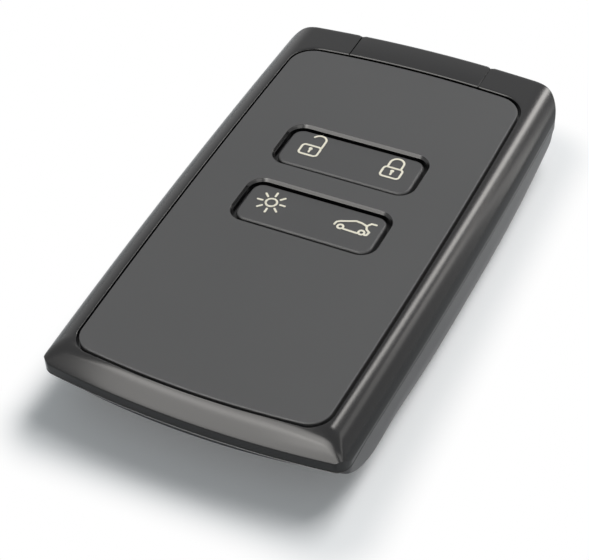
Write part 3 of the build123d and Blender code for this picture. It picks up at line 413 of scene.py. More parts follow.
def mesh_object(name, build, smooth=True):
    """A mesh object in metres from build(bm), which works in millimetres."""
    bm = bmesh.new()
    build(bm)
    bmesh.ops.scale(bm, vec=(MM, MM, MM), verts=bm.verts)
    bmesh.ops.recalc_face_normals(bm, faces=bm.faces)
    for face in bm.faces:
        face.smooth = smooth
    mesh = bpy.data.meshes.new(name)
    bm.to_mesh(mesh)
    bm.free()
    return linked(bpy.data.objects.new(name, mesh))


def bake_modifiers(piece):
    """Turns a piece's modifiers into its plain mesh."""
    graph = bpy.context.evaluated_depsgraph_get()
    old = piece.data
    mesh = bpy.data.meshes.new_from_object(piece.evaluated_get(graph))
    mesh.name = old.name
    piece.modifiers.clear()
    piece.data = mesh
    bpy.data.meshes.remove(old)


def tie(piece, body, node):
    """Ties a piece to its body and hides the node that it stands for."""
    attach(piece, body)
    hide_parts(node)


def mesh_piece(name, build, body, node, finish, flat_faces=False):
    """Makes a piece from build(bm) and ties it to the frame."""
    piece = mesh_object(name, build)
    piece.data.set_sharp_from_angle(angle=SHARP_ANGLE)
    if flat_faces:
        # The large flat faces set the normals, so that they shade flat beside roundings
        modifier = piece.modifiers.new("Flat faces", "WEIGHTED_NORMAL")
        modifier.keep_sharp = True
        modifier.weight = 100
        bake_modifiers(piece)
    piece.data.materials.append(finish_of(finish))
    tie(piece, body, node)
    return piece


def add_rings(bm, rings, capped=True):
    """Joins rings of points by quads, and closes both ends where the shape is capped."""
    loops = [[bm.verts.new(point) for point in ring] for ring in rings]
    count = len(loops[0])
    for first, second in zip(loops, loops[1:]):
        for k in range(count):
            after = (k + 1) % count
            bm.faces.new((first[k], first[after], second[after], second[k]))
    if capped:
        bm.faces.new(loops[0])
        bm.faces.new(loops[-1])
    return loops


def raised(places, height):
    """A ring of points from plan places, where height gives each one's height."""
    return [(place.x, place.y, height(place)) for place in places]


def at_height(places, level):
    return raised(places, lambda place: level)


def rounded_levels(rounding, top, steps):
    """(growth, height) pairs up over a rounded upper edge."""
    turns = [pi / 2 * k / steps for k in range(steps + 1)]
    return [(-rounding * (1 - cos(a)), top - rounding + rounding * sin(a)) for a in turns]


def add_turned(bm, x, y, profile, steps=32):
    """A turned shape about a vertical axis, from (radius, height) pairs, closed at both ends."""
    turns = [tau * k / steps for k in range(steps)]
    add_rings(bm, [[(x + r * cos(a), y + r * sin(a), z) for a in turns] for r, z in profile])


def add_block(bm, low, high):
    """A plain block between two corners."""
    x, y, z = zip(low, high)
    corners = ((0, 0), (1, 0), (1, 1), (0, 1))
    add_rings(bm, [[(x[i], y[j], height) for i, j in corners] for height in z])


def loop_edges(bm, loop):
    """The edges round a loop of vertices."""
    return [bm.edges.get(pair) for pair in zip(loop, loop[1:] + loop[:1])]


# Front bezel


def band_distances(width, groove):
    """Distances across the bezel's band from its outer edge, closer together where it curves."""
    first = 0.8
    rim = [first * (1 - cos(pi / 2 * k / 11)) for k in range(11)]
    middle = [first + (width - groove - first) * k / 12 for k in range(12)]
    return rim + middle + [width - groove + groove * sin(pi / 2 * k / 5) for k in range(6)]


def band_points(crown, outer, inner, groove_edge):
    """Points across the bezel's band at one place, with the small rounding at the groove."""
    across = inner - outer
    width = across.length
    points = []
    for distance in band_distances(width, groove_edge):
        point = outer + across * (distance / width)
        height = crown.height(point, distance) - eased(width - distance, groove_edge)
        points.append((point.x, point.y, height))
    return points


def ledge_heights(s):
    """The top and the bottom of the ledge under the panel."""
    top = s["card_height"] - s["panel_thickness"]
    return top, top - LEDGE_THICKNESS


def bezel_rings(s):
    """The bezel's sections, one for each place round the card from notch to notch."""
    crown, card = Crown(s), card_plan(s)
    notch, seam = s["notch_half_width"], s["seam_height"]
    ledge_top, ledge_bottom = ledge_heights(s)
    slot_depth, slot_top, skirt_bottom = 0.3, 0.17, 0.2
    rebate_inset, rebate_depth, bulkhead_reach = 0.75, 0.8, 1.2
    outlines = (
        card,
        card.grown(-slot_depth),
        recess_plan(s),
        panel_plan(s).grown(-LEDGE_WIDTH),
        card.grown(-WALL_THICKNESS),
        card.grown(-rebate_inset),
    )
    rings = []
    for places in zip(*(open_loop(outline, notch) for outline in outlines)):
        outer, slot, recess, ledge, wall, rebate = places
        at_far_end = outer.y > FAR_PART_Y
        beyond_notch = abs(outer.x) - notch
        if at_far_end:
            vee = max(0.0, 1 - beyond_notch / VEE_WIDTH) * VEE_DEPTH
            outer = Vector((outer.x, outer.y - vee))
            slot = Vector((slot.x, slot.y - vee))
        rebate_top = seam + rebate_depth
        if at_far_end and beyond_notch < bulkhead_reach:
            wall = rebate = Vector((outer.x, BULKHEAD_Y))
            rebate_top = seam
        low = seam - seam_dip(card, outer)
        under = [(slot, low), (slot, low + slot_top), (outer, low + skirt_bottom)]
        inside = [
            (recess, ledge_top),
            (ledge, ledge_top),
            (ledge, ledge_bottom),
            (wall, ledge_bottom),
            (wall, rebate_top + 0.01),
            (rebate, rebate_top),
            (rebate, low),
        ]
        under, inside = ([(p.x, p.y, height) for p, height in side] for side in (under, inside))
        rings.append(under + band_points(crown, outer, recess, s["groove_edge"]) + inside)
    return rings


def build_bezel(bm):
    """The frame round the panel, the bulkhead before the key's head and the screw bosses."""
    s = sizes()
    add_rings(bm, bezel_rings(s))
    seam = s["seam_height"]
    ledge_top, ledge_bottom = ledge_heights(s)
    ledge = panel_plan(s).grown(-LEDGE_WIDTH)
    rings = []
    for k in range(25):
        x = (s["notch_half_width"] + 0.3) * (k / 12 - 1)
        y = ledge.end_y(x, True)
        profile = [(BULKHEAD_Y, seam), (NOTCH_Y, seam), (NOTCH_Y, ledge_top)]
        profile += [(y, ledge_top), (y, ledge_bottom), (BULKHEAD_Y, ledge_bottom)]
        rings.append([(x, across, height) for across, height in profile])
    add_rings(bm, rings)
    hole, hole_top, boss, boss_foot = 0.85, 10.85, 1.9, 8.7
    profile = [(0.05, hole_top), (hole, hole_top), (hole, boss_foot), (boss, boss_foot)]
    profile.append((boss, ledge_bottom + 0.7))
    for side in (-1, 1):
        for y in BOSS_YS:
            add_turned(bm, side * BOSS_X, y, profile)


# Front panel


def build_panel(bm):
    """The plate with its rounded edge and its two windows with steep edges."""
    s = sizes()
    top = s["card_height"]
    bottom = top - s["panel_thickness"]
    plan = panel_plan(s)
    levels = [(0.0, bottom)] + rounded_levels(s["panel_rounding"], top, 8)
    rings = [at_height(whole_loop(plan.grown(growth)), level) for growth, level in levels]
    outer = add_rings(bm, rings, capped=False)
    # (inset, height) pairs down a window's edge
    edge = [(0.0, top), (0.04, top - 0.03), (0.20, top - 0.42), (0.26, top - 0.50), (0.28, bottom)]
    windows = []
    for window_y in window_places():
        rings = []
        for inset, level in edge:
            width, height = s["window_width"] - 2 * inset, s["window_height"] - 2 * inset
            box = rounded_box(width, height, WINDOW_CORNER - inset, window_y)
            rings.append(at_height(box, level))
        windows.append(add_rings(bm, rings, capped=False))
    for outer_end, window_end in ((0, -1), (-1, 0)):
        edges = loop_edges(bm, outer[outer_end])
        for window in windows:
            edges += loop_edges(bm, window[window_end])
        bmesh.ops.triangle_fill(bm, use_beauty=True, use_dissolve=False, edges=edges)


# Rockers


def build_rocker(bm, window_y):
    """A rocker: its pad over a flange, two stems and two trunnions."""
    s = sizes()
    bevel, gap, depth = 0.5, 0.35, 1.9
    inset = bevel + gap
    width, height = s["window_width"] - 2 * inset, s["window_height"] - 2 * inset
    top = s["card_height"] - s["pad_recess"]
    bottom = top - depth
    flange, flange_top = 0.8, bottom + 0.5
    levels = [(flange, bottom), (flange, flange_top), (0.0, flange_top)]
    rings = []
    for growth, level in levels + rounded_levels(s["pad_rounding"], top, 7):
        corner = max(WINDOW_CORNER - inset + min(growth, 0.0), 0.3)
        box = rounded_box(width + 2 * growth, height + 2 * growth, corner, window_y)
        rings.append(at_height(box, level))
    add_rings(bm, rings)
    stem_x, axle_height, axle_start = 7.5, bottom + 0.25, height / 2 + flange
    stem = [(1.3, bottom - 0.25), (1.4, bottom - 0.15), (1.4, bottom + 0.1)]
    axle = [(0.55, axle_start - 0.3), (0.55, axle_start + 1.42), (0.47, axle_start + 1.5)]
    turns = [tau * k / 24 for k in range(24)]
    for side in (-1, 1):
        add_turned(bm, side * stem_x, window_y, stem)
        add_rings(
            bm,
            [
                [(r * cos(a), window_y + side * along, axle_height + r * sin(a)) for a in turns]
                for r, along in axle
            ],
        )


# Emergency key's head


def filleted(corners):
    """Points round a closed outline, from (point, radius, steps) triples."""
    points = []
    for k, (corner, radius, steps) in enumerate(corners):
        if radius == 0:
            points.append(corner)
            continue
        before = (corners[k - 1][0] - corner).normalized()
        after = (corners[(k + 1) % len(corners)][0] - corner).normalized()
        half_angle = acos(max(-1.0, min(1.0, before.dot(after)))) / 2
        centre = corner + (before + after).normalized() * (radius / sin(half_angle))
        reach = radius * cos(half_angle) / sin(half_angle)
        start, end = corner + before * reach - centre, corner + after * reach - centre
        turn = atan2(start.x * end.y - start.y * end.x, start.dot(end))
        for step in range(steps + 1):
            points.append(centre + Matrix.Rotation(turn * step / steps, 2) @ start)
    return points


def build_key_head(bm):
    """The end of the card between the two seams, section by section across it."""
    s = sizes()
    seam_gap, clearance = 0.08, 0.15
    half = s["notch_half_width"] - seam_gap
    card, recess = card_plan(s), recess_plan(s)
    near, step_height = NOTCH_Y + clearance, ledge_heights(s)[0] - clearance
    side_trim, trim_width = 0.1, 0.12
    beside = [0.0, trim_width, 0.3, VEE_WIDTH]
    middle = [half * (k / 20 - 1) for k in range(2, 39)]
    places = [gap - half for gap in beside] + middle + [half - gap for gap in reversed(beside)]
    rings = []
    for x in places:
        end = half - abs(x)
        trim = side_trim * max(0.0, 1 - end / trim_width)
        far = card.end_y(x, True) - VEE_DEPTH * max(0.0, 1 - end / VEE_WIDTH)
        top = s["bezel_top"] - trim
        belly = [belly_height(y) + trim for y in (near, (near + far) / 2, far)]
        corners = [
            (near + trim, belly[0], 0.15, 3),
            ((near + far) / 2, belly[1], 0, 0),
            (far - trim, belly[2], 1.5, 8),
            (far - trim, s["seam_height"], 0, 0),
            (far - trim, top, s["far_rounding"], 9),
            (recess.end_y(x, True) + trim, top, s["groove_edge"], 5),
            (recess.end_y(x, True) + trim, step_height, 0, 0),
            (near + trim, step_height, 0, 0),
        ]
        outline = filleted([(Vector((y, z)), radius, steps) for y, z, radius, steps in corners])
        rings.append([(x, point.x, point.y) for point in outline])
    add_rings(bm, rings)


# Rear cover


def cover_floor_height(plan, point):
    """The belly's height at a point: a flat to rest on, and lips that rise to both ends."""
    lip_y, lip_arc, lip_centre_y, lip_centre_height = -31.0, 15.89, -28.692, 17.548
    crowned_half_width, crown_rise, lip_sink = 22.0, 0.85, 0.30
    y = point.y
    if y < 0:
        turned = plan.near_y + max(plan.from_end(point), 0.0)
        y += (turned - y) * smooth_step(-16.0, -32.0, y)
    height = belly_height(y)
    if y < lip_y:
        height = lip_centre_height - sqrt(lip_arc**2 - (lip_centre_y - y) ** 2)
    crown = abs(point.x / crowned_half_width) ** 2
    return height + smooth_step(-24.0, -40.0, y) * (crown_rise * crown - lip_sink)


def cover_skin(plan, point):
    """The cover's outer face at a point, with its rounded lower edge."""
    radius, near_rounding = plan.far_corner, 0.35
    from_side, from_far = plan.from_side(point), plan.from_end(point, far=True)
    from_near = plan.from_end(point)
    depth = min(from_side, from_far)
    if from_side < radius and from_far < radius:
        depth = radius - hypot(radius - from_side, radius - from_far)
    rounding = near_rounding + 2.25 * smooth_step(0.0, 16.0, from_near)
    upright = 1 + smooth_step(2.0, 20.0, from_near)
    rise = max(eased(depth, rounding) * upright, eased(from_near, near_rounding))
    return cover_floor_height(plan, point) + rise


def cover_rings(s):
    """Loops from the belly's middle out, up the wall, over the tongue and in again."""
    plan, seam = card_plan(s), s["seam_height"]
    outer = whole_loop(plan)
    spine_end, spine_share, edge_width = 30.0, 0.8, 2.6
    heads = [max(-spine_end, min(spine_end, point.y * spine_share)) for point in outer]
    spine = [Vector((0.0, y)) for y in heads]
    spans = [(inner - edge).length for edge, inner in zip(outer, spine)]
    shares = [1.0, 0.8, 0.62, 0.47, 0.34, 0.24]
    depths = [edge_width * (1 - cos(pi / 2 * k / 9)) for k in range(9, 0, -1)] + [0.0]
    wall, clearance, tongue_top, notch_side = 1.5, 0.08, seam + 0.65, 12.3
    floor_thickness, under_seam = 1.1, 0.3

    def inwards(edges, steps):
        """Places on the way from each edge place to the spine, each at its own share."""
        return [edge + (inner - edge) * step for edge, inner, step in zip(edges, spine, steps)]

    def skin(place):
        return cover_skin(plan, place)

    def inside(place):
        return min(cover_floor_height(plan, place) + floor_thickness, seam - under_seam)

    def seam_at(place):
        return seam - seam_dip(plan, place)

    def tongue_at(place):
        beside_notch = place.y > FAR_PART_Y and abs(place.x) < notch_side
        return foot if beside_notch or not stands else tongue_top

    rings = [raised(inwards(outer, [share] * len(outer)), skin) for share in shares]
    for depth in depths:
        places = inwards(outer, [depth / span for span in spans])
        rings.append(raised(places, lambda place: min(skin(place), seam_at(place) - clearance)))
    for inset, under in ((0.0, 0.05), (0.05, 0.0), (0.75, 0.0)):
        places = whole_loop(plan.grown(-inset))
        rings.append(raised(places, lambda place: seam_at(place) - under))
    for inset, stands in ((0.9, False), (0.9, True), (wall, True), (wall, False)):
        foot = seam - (0.01 if inset == wall else 0.0)
        rings.append(raised(whole_loop(plan.grown(-inset)), tongue_at))
    inner = whole_loop(plan.grown(-wall))
    for share in [0.0, 0.02] + shares[::-1]:
        places = inwards(inner, [share] * len(inner))
        rings.append(raised(places, inside))
    return rings


def build_cover(bm):
    """The tray under the seam, with four clips inside."""
    s = sizes()
    add_rings(bm, cover_rings(s), capped=False)
    bmesh.ops.remove_doubles(bm, verts=bm.verts, dist=1e-4)
    plan = card_plan(s)
    clip_foot, clip_top, hook_top, hook_reach = 6.8, 10.0, 8.3, 0.9
    half_length, thickness = 3.0, 0.75
    for clip_y in (-17.0, 17.0):
        outside = plan.side_x(clip_y) - WALL_THICKNESS - 0.2
        for side in (-1, 1):
            low = (side * (outside - thickness), clip_y - half_length, clip_foot)
            for reach, top in ((0.0, clip_top), (hook_reach, hook_top)):
                add_block(bm, low, (side * (outside + reach), clip_y + half_length, top))


def build_cover_openings(bm):
    """The notch for the key's head and the hole for the release button."""
    half = sizes()["notch_half_width"]
    beyond, under = 45.0, -2.0
    add_block(bm, (-half, NOTCH_Y, under), (half, beyond, 12.0))
    button_y, button_width, button_length, button_corner = 22.0, 8.6, 5.4, 1.0
    hole = rounded_box(button_width, button_length, button_corner, button_y)
    add_rings(bm, [at_height(hole, under), at_height(hole, 6.0)])


def cut_openings(piece, build_cutter):
    """Cuts the cutter's shape out of a piece."""
    cutter = mesh_object("cutter", build_cutter, smooth=False)
    mesh = cutter.data
    modifier = piece.modifiers.new("Openings", "BOOLEAN")
    modifier.operation = "DIFFERENCE"
    modifier.solver = "EXACT"
    modifier.object = cutter
    bake_modifiers(piece)
    bpy.data.objects.remove(cutter)
    bpy.data.meshes.remove(mesh)


# Coin cell


def build_battery(bm):
    """The coin cell: a can with a rolled rim, the gasket's groove, the smaller cap and a plus."""
    middle_y, low, high = -19.0, 3.9, 7.1
    can = [(0.05, low + 0.02), (7.6, low + 0.02), (7.75, low), (9.55, low), (9.86, low + 0.1)]
    can += [(10.0, low + 0.42), (10.0, high - 0.55), (9.9, high - 0.34), (9.6, high - 0.27)]
    can += [(9.2, high - 0.3), (9.05, high - 0.42), (8.78, high - 0.42), (8.78, high - 0.14)]
    can += [(8.6, high), (0.05, high)]
    add_turned(bm, 0.0, middle_y, can, 72)
    plus_y = middle_y - 5.2
    for wide, tall in ((1.3, 0.32), (0.32, 1.3)):
        add_block(bm, (-wide, plus_y - tall, low), (wide, plus_y + tall, low + 0.3))


# Node trees


class Tree:
    """A node tree with short ways to place and join its nodes."""

    def __init__(self, tree):
        self.tree = tree

    def socket(self, label, kind, default=None, way="INPUT"):
        """Gives the tree a named input or output, and returns its identifier."""
        kind = "NodeSocket" + kind
        socket = self.tree.interface.new_socket(name=label, in_out=way, socket_type=kind)
        if default is not None:
            socket.default_value = default
        return socket.identifier

    def feed(self, socket, value):
        """Sets an input to a plain value, to another node's output or to a list of outputs."""
        for source in value if isinstance(value, list) else [value]:
            if isinstance(source, bpy.types.NodeSocket):
                self.tree.links.new(source, socket)
            else:
                socket.default_value = source

    def add(self, kind, inputs=None, **settings):
        """Places a node."""
        node = self.tree.nodes.new(kind)
        for key, value in settings.items():
            setattr(node, key, value)
        for key, value in (inputs or {}).items():
            self.feed(node.inputs[key], value)
        return node

    def out(self, kind, inputs=None, **settings):
        """Places a node and gives its first output."""
        return self.add(kind, inputs, **settings).outputs[0]

    def maths(self, operation, *values):
        return self.out("ShaderNodeMath", dict(enumerate(values)), operation=operation)


# Finishes


def grain_group():
    """A shader group for moulded plastic: fine grain, and a slow drift of colour and roughness."""
    name = "Moulded grain"
    if name in bpy.data.node_groups:
        return bpy.data.node_groups[name]
    tree = Tree(bpy.data.node_groups.new(name, "ShaderNodeTree"))
    defaults = {"Grain size": 2500.0, "Drift size": 60.0, "Roughness": 0.5, "Roughness range": 0.08}
    for label, default in defaults.items():
        tree.socket(label, "Float", default)
    tree.socket("Colour", "Color", (0.5, 0.5, 0.5, 1.0))
    for label, kind in (("Colour", "Color"), ("Roughness", "Float"), ("Height", "Float")):
        tree.socket(label, kind, way="OUTPUT")
    given = tree.add("NodeGroupInput").outputs
    place = tree.add("ShaderNodeTexCoord").outputs["Object"]
    grain, drift = (
        tree.add("ShaderNodeTexNoise", {"Vector": place, "Scale": given[size], "Detail": detail})
        for size, detail in (("Grain size", 3.0), ("Drift size", 2.0))
    )
    centred = tree.maths("SUBTRACT", drift.outputs["Fac"], 0.5)
    shade = tree.maths("MULTIPLY_ADD", centred, 0.12, 1.0)
    tinted = tree.add(
        "ShaderNodeMix", {0: 1.0, 6: given["Colour"], 7: shade}, data_type="RGBA", blend_type="MULTIPLY"
    )
    spread = tree.maths("MULTIPLY_ADD", centred, given["Roughness range"], given["Roughness"])
    results = {"Colour": tinted.outputs[2], "Roughness": spread, "Height": grain.outputs["Fac"]}
    tree.add("NodeGroupOutput", results)
    return tree.tree


def moulded(name, colour, roughness, grain, bump, spread=0.08, **uniform):
    """A finish whose colour and roughness drift slowly, and whose grain shows as bump."""
    finish = bpy.data.materials.new(name)
    finish.use_nodes = True
    tree = Tree(finish.node_tree)
    shader = finish.node_tree.nodes["Principled BSDF"].inputs
    look = {"Grain size": grain, "Roughness": roughness, "Roughness range": spread}
    look["Colour"] = (*colour, 1.0)
    grained = tree.add("ShaderNodeGroup", look, node_tree=grain_group()).outputs
    relief = {"Strength": bump, "Distance": 0.00002, "Height": grained["Height"]}
    tree.feed(shader["Base Color"], grained["Colour"])
    tree.feed(shader["Roughness"], grained["Roughness"])
    tree.feed(shader["Normal"], tree.out("ShaderNodeBump", relief))
    for socket, value in uniform.items():
        shader[socket].default_value = value
    return finish


# Each finish: its own colour or the name of one of the card's, its roughness and its grain
FINISHES = {
    "Bezel gloss": ("bezel", 0.19, dict(grain=700.0, bump=0.02, spread=0.05, IOR=1.43)),
    "Panel matte": ("panel", 0.50, dict(grain=6000.0, bump=0.25, spread=0.06)),
    "Window edge": ("bezel", 0.22, dict(grain=1500.0, bump=0.05, spread=0.05)),
    "Rocker matte": ("rocker", 0.47, dict(grain=6000.0, bump=0.22, spread=0.06)),
    "Symbol ink": ("ink", 0.55, dict(grain=4000.0, bump=0.10)),
    "Cover matte": ("cover", 0.33, dict(grain=4500.0, bump=0.20)),
    "Inner plastic": ("carrier", 0.45, dict(grain=3000.0, bump=0.20)),
    "Silicone": ("rubber", 0.62, dict(grain=3500.0, bump=0.15)),
    "Board lacquer": ("board", 0.30, dict(grain=1800.0, bump=0.20)),
    "Chip resin": ((0.018, 0.018, 0.019), 0.48, dict(grain=5000.0, bump=0.30)),
    "Ferrite": ((0.035, 0.034, 0.034), 0.55, dict(grain=4000.0, bump=0.30)),
    "Ceramic": ((0.42, 0.30, 0.19), 0.40, dict(grain=3000.0, bump=0.15)),
    "Bright steel": ("steel", 0.26, dict(grain=1600.0, bump=0.08, Metallic=1.0)),
    "Blade steel": ((0.33, 0.33, 0.325), 0.42, dict(grain=1200.0, bump=0.12, Metallic=1.0)),
    "Spring steel": ((0.55, 0.55, 0.54), 0.24, dict(grain=1600.0, bump=0.06, Metallic=1.0)),
    "Tinned metal": ((0.66, 0.66, 0.65), 0.30, dict(grain=1500.0, bump=0.10, Metallic=1.0)),
    "Copper wire": ("copper", 0.28, dict(grain=1500.0, bump=0.08, Metallic=1.0)),
    "Gold contact": ((0.83, 0.62, 0.28), 0.26, dict(grain=1500.0, bump=0.06, Metallic=1.0)),
}

# The CAD nodes that keep their own shapes, by their finish
KEPT_NODES = {
    "Symbol ink": ("unlock_symbol", "lock_symbol", "tailgate_symbol"),
    "Inner plastic": ("keypad_carrier", "inner_frame"),
    "Silicone": ("keypad_membrane",),
    "Board lacquer": ("circuit_board",),
    "Tinned metal": ("unlock_switch", "lock_switch", "light_switch", "tailgate_switch", "crystal"),
    "Chip resin": ("controller_chip", "radio_chip"),
    "Ferrite": ("antenna_core",),
    "Bright steel": ("key_pin",),
    "Gold contact": ("negative_contact", "positive_contact"),
    "Cover matte": ("release_button",),
    "Blade steel": ("key_blade",),
}


def finish_of(name):
    """The finish of that name, made when it is first asked for."""
    if name in bpy.data.materials:
        return bpy.data.materials[name]
    colour, roughness, rest = FINISHES[name]
    if isinstance(colour, str):
        colour = getattr(bpy.context.scene.key_card_colours, colour)
    return moulded(name, colour, roughness, **rest)


# Pieces that follow a rule, grown by geometry trees


class Rule(Tree):
    """A geometry tree with named inputs, its sizes in metres, and ways to place its nodes."""

    kinds = {int: "Int", float: "Float", tuple: "Vector"}

    def __init__(self, name, inputs, finishes=("Finish",)):
        super().__init__(bpy.data.node_groups.new(name, "GeometryNodeTree"))
        self.ids = {
            label: self.socket(label, self.kinds[type(value)], value)
            for label, value in inputs.items()
        }
        for label in finishes:
            self.ids[label] = self.socket(label, "Material")
        self.socket("Geometry", "Geometry", way="OUTPUT")
        self.source = self.add("NodeGroupInput")

    def __getitem__(self, label):
        """What the named input is given."""
        return self.source.outputs[label]

    def times(self, first, second):
        return self.maths("MULTIPLY", first, second)

    def plus(self, first, second):
        return self.maths("ADD", first, second)

    def minus(self, first, second):
        return self.maths("SUBTRACT", first, second)

    def vector(self, x=0.0, y=0.0, z=0.0):
        return self.out("ShaderNodeCombineXYZ", {0: x, 1: y, 2: z})

    def moved(self, geometry, x=0.0, y=0.0, z=0.0, turn=0.0):
        """Geometry turned about the upright axis and then moved."""
        place, turned = self.vector(x, y, z), (0.0, 0.0, turn)
        inputs = {"Geometry": geometry, "Translation": place, "Rotation": turned}
        return self.out("GeometryNodeTransform", inputs)

    def placed(self, geometry):
        """Geometry moved to the place that the tree is given."""
        inputs = {"Geometry": geometry, "Translation": self["Place"]}
        return self.out("GeometryNodeTransform", inputs)

    def joined(self, *parts):
        return self.out("GeometryNodeJoinGeometry", {0: list(reversed(parts))})

    def box(self, x, y, z):
        return self.out("GeometryNodeMeshCube", {"Size": self.vector(x, y, z)})

    def disc(self, vertices, radius, depth):
        inputs = {"Vertices": vertices, "Radius": radius, "Depth": depth}
        return self.out("GeometryNodeMeshCylinder", inputs)

    def circle(self, resolution, radius):
        inputs = {"Resolution": resolution, "Radius": radius}
        return self.out("GeometryNodeCurvePrimitiveCircle", inputs)

    def helix(self, resolution, rotations, radius, height):
        inputs = {"Resolution": resolution, "Rotations": rotations, "Height": height}
        return self.out(
            "GeometryNodeCurveSpiral", inputs | {"Start Radius": radius, "End Radius": radius}
        )

    def swept(self, curve, profile):
        inputs = {"Curve": curve, "Profile Curve": profile, "Fill Caps": True}
        return self.out("GeometryNodeCurveToMesh", inputs)

    def grid(self, across, along, columns, rows):
        inputs = {"Size X": across, "Size Y": along, "Vertices X": columns, "Vertices Y": rows}
        return self.out("GeometryNodeMeshGrid", inputs)

    def line(self, count, **ends):
        """Points in a row, one offset apart."""
        inputs = {"Count": count} | {key.replace("_", " "): end for key, end in ends.items()}
        return self.out("GeometryNodeMeshLine", inputs, mode="OFFSET")

    def repeated(self, points, instance, **rest):
        inputs = {"Points": points, "Instance": instance} | rest
        return self.out("GeometryNodeInstanceOnPoints", inputs)

    def painted(self, geometry, finish, **rest):
        inputs = {"Geometry": geometry, "Material": self[finish]} | rest
        return self.out("GeometryNodeSetMaterial", inputs)

    def finished(self, geometry, mark=None, mark_finish=None):
        """Ends the tree: the instances become real and get their finish, marked faces another."""
        real = self.out("GeometryNodeRealizeInstances", {"Geometry": geometry})
        real = self.painted(real, "Finish")
        if mark:
            named = {"Name": mark}
            marked = self.out("GeometryNodeInputNamedAttribute", named, data_type="BOOLEAN")
            real = self.painted(real, mark_finish, Selection=marked)
        self.add("NodeGroupOutput", {0: real})
        return self


def grow(name, rule, values, body, node, finish):
    """Makes a piece from a geometry tree, as one plain mesh, and ties it to the frame."""
    piece = linked(bpy.data.objects.new(name, bpy.data.meshes.new(name)))
    modifier = piece.modifiers.new("Rule", "NODES")
    modifier.node_group = rule.tree
    for label, value in (values | {"Finish": finish_of(finish)}).items():
        modifier[rule.ids[label]] = value
    bake_modifiers(piece)
    tie(piece, body, node)
    return piece


def screw_rule():
    """Screws at the corners of a rectangle: a cross-slotted head under a threaded shaft."""
    inputs = {
        "Across": 0.0356,
        "Along": 0.0565,
        "Middle": -0.00075,
        "Foot": 0.0061,
        "Head radius": 0.0015,
        "Head height": 0.0008,
        "Shaft radius": 0.0008,
        "Shaft length": 0.0039,
        "Thread pitch": 0.0005,
        "Slot width": 0.0004,
        "Slot depth": 0.00035,
    }
    rule = Rule("Screws", inputs)
    times, plus = rule.times, rule.plus
    height, head_radius = rule["Head height"], rule["Head radius"]
    radius, length = rule["Shaft radius"], rule["Shaft length"]
    plate = rule.moved(rule.disc(40, head_radius, times(height, 0.8)), z=times(height, 0.6))
    bevel = {
        "Vertices": 40,
        "Radius Top": head_radius,
        "Radius Bottom": times(head_radius, 0.88),
        "Depth": times(height, 0.2),
    }
    overlap = 0.000001
    bevel = rule.moved(rule.out("GeometryNodeMeshCone", bevel), z=overlap)
    cutting = dict(kind="GeometryNodeMeshBoolean", solver="EXACT")
    head = rule.out(inputs={"Mesh 2": [plate, bevel]}, operation="UNION", **cutting)
    slot = (times(radius, 2.0), rule["Slot width"], times(rule["Slot depth"], 2.0))
    bars = [rule.moved(rule.box(*slot), turn=turn) for turn in (0.0, pi / 2)]
    head = rule.out(inputs={"Mesh 1": head, "Mesh 2": bars}, operation="DIFFERENCE", **cutting)
    core, threaded = times(radius, 0.82), times(length, 0.85)
    shaft = rule.moved(rule.disc(24, core, length), z=plus(height, times(length, 0.5)))
    helix = rule.helix(20, rule.maths("DIVIDE", threaded, rule["Thread pitch"]), core, threaded)
    thread = rule.swept(helix, rule.circle(4, times(radius, 0.16)))
    thread = rule.moved(thread, z=plus(height, times(length, 0.1)))
    corners = rule.grid(rule["Across"], rule["Along"], 2, 2)
    screws = rule.repeated(corners, rule.joined(head, shaft, thread))
    return rule.finished(rule.moved(screws, y=rule["Middle"], z=rule["Foot"]))


def capacitor_rule():
    """Small capacitors in rows and columns, a metal cap at both ends of each, a little askew."""
    inputs = {
        "Columns": 4,
        "Rows": 2,
        "Pitch": 0.0022,
        "Width": 0.0008,
        "Length": 0.0016,
        "Height": 0.0008,
        "Cap length": 0.00035,
        "Cap proud": 0.00004,
        "Place": (0.0134, 0.0148, 0.0071),
        "Seed": 7,
    }
    rule = Rule("Capacitors", inputs, ("Finish", "Cap finish"))
    times, minus = rule.times, rule.minus
    width, length, height = rule["Width"], rule["Length"], rule["Height"]
    cap_length, pitch = rule["Cap length"], rule["Pitch"]
    two_proud = times(rule["Cap proud"], 2.0)
    bar = rule.box(width, length, minus(height, two_proud))
    cap = rule.box(rule.plus(width, two_proud), rule.plus(cap_length, two_proud), height)
    mark = {"Geometry": cap, "Name": "cap", "Value": True}
    cap = rule.out("GeometryNodeStoreNamedAttribute", mark, data_type="BOOLEAN", domain="FACE")
    reach = times(minus(length, cap_length), 0.5)
    caps = [rule.moved(cap, y=times(reach, side)) for side in (1.0, -1.0)]
    single = rule.moved(rule.joined(bar, *caps), z=times(height, 0.5))
    across, along = (times(pitch, minus(rule[label], 1.0)) for label in ("Columns", "Rows"))
    points = rule.grid(across, along, rule["Columns"], rule["Rows"])
    lean = {"Min": (0.0, 0.0, -0.03), "Max": (0.0, 0.0, 0.03), "Seed": rule["Seed"]}
    lean = rule.out("FunctionNodeRandomValue", lean, data_type="FLOAT_VECTOR")
    return rule.finished(
        rule.placed(rule.repeated(points, single, Rotation=lean)), "cap", "Cap finish"
    )


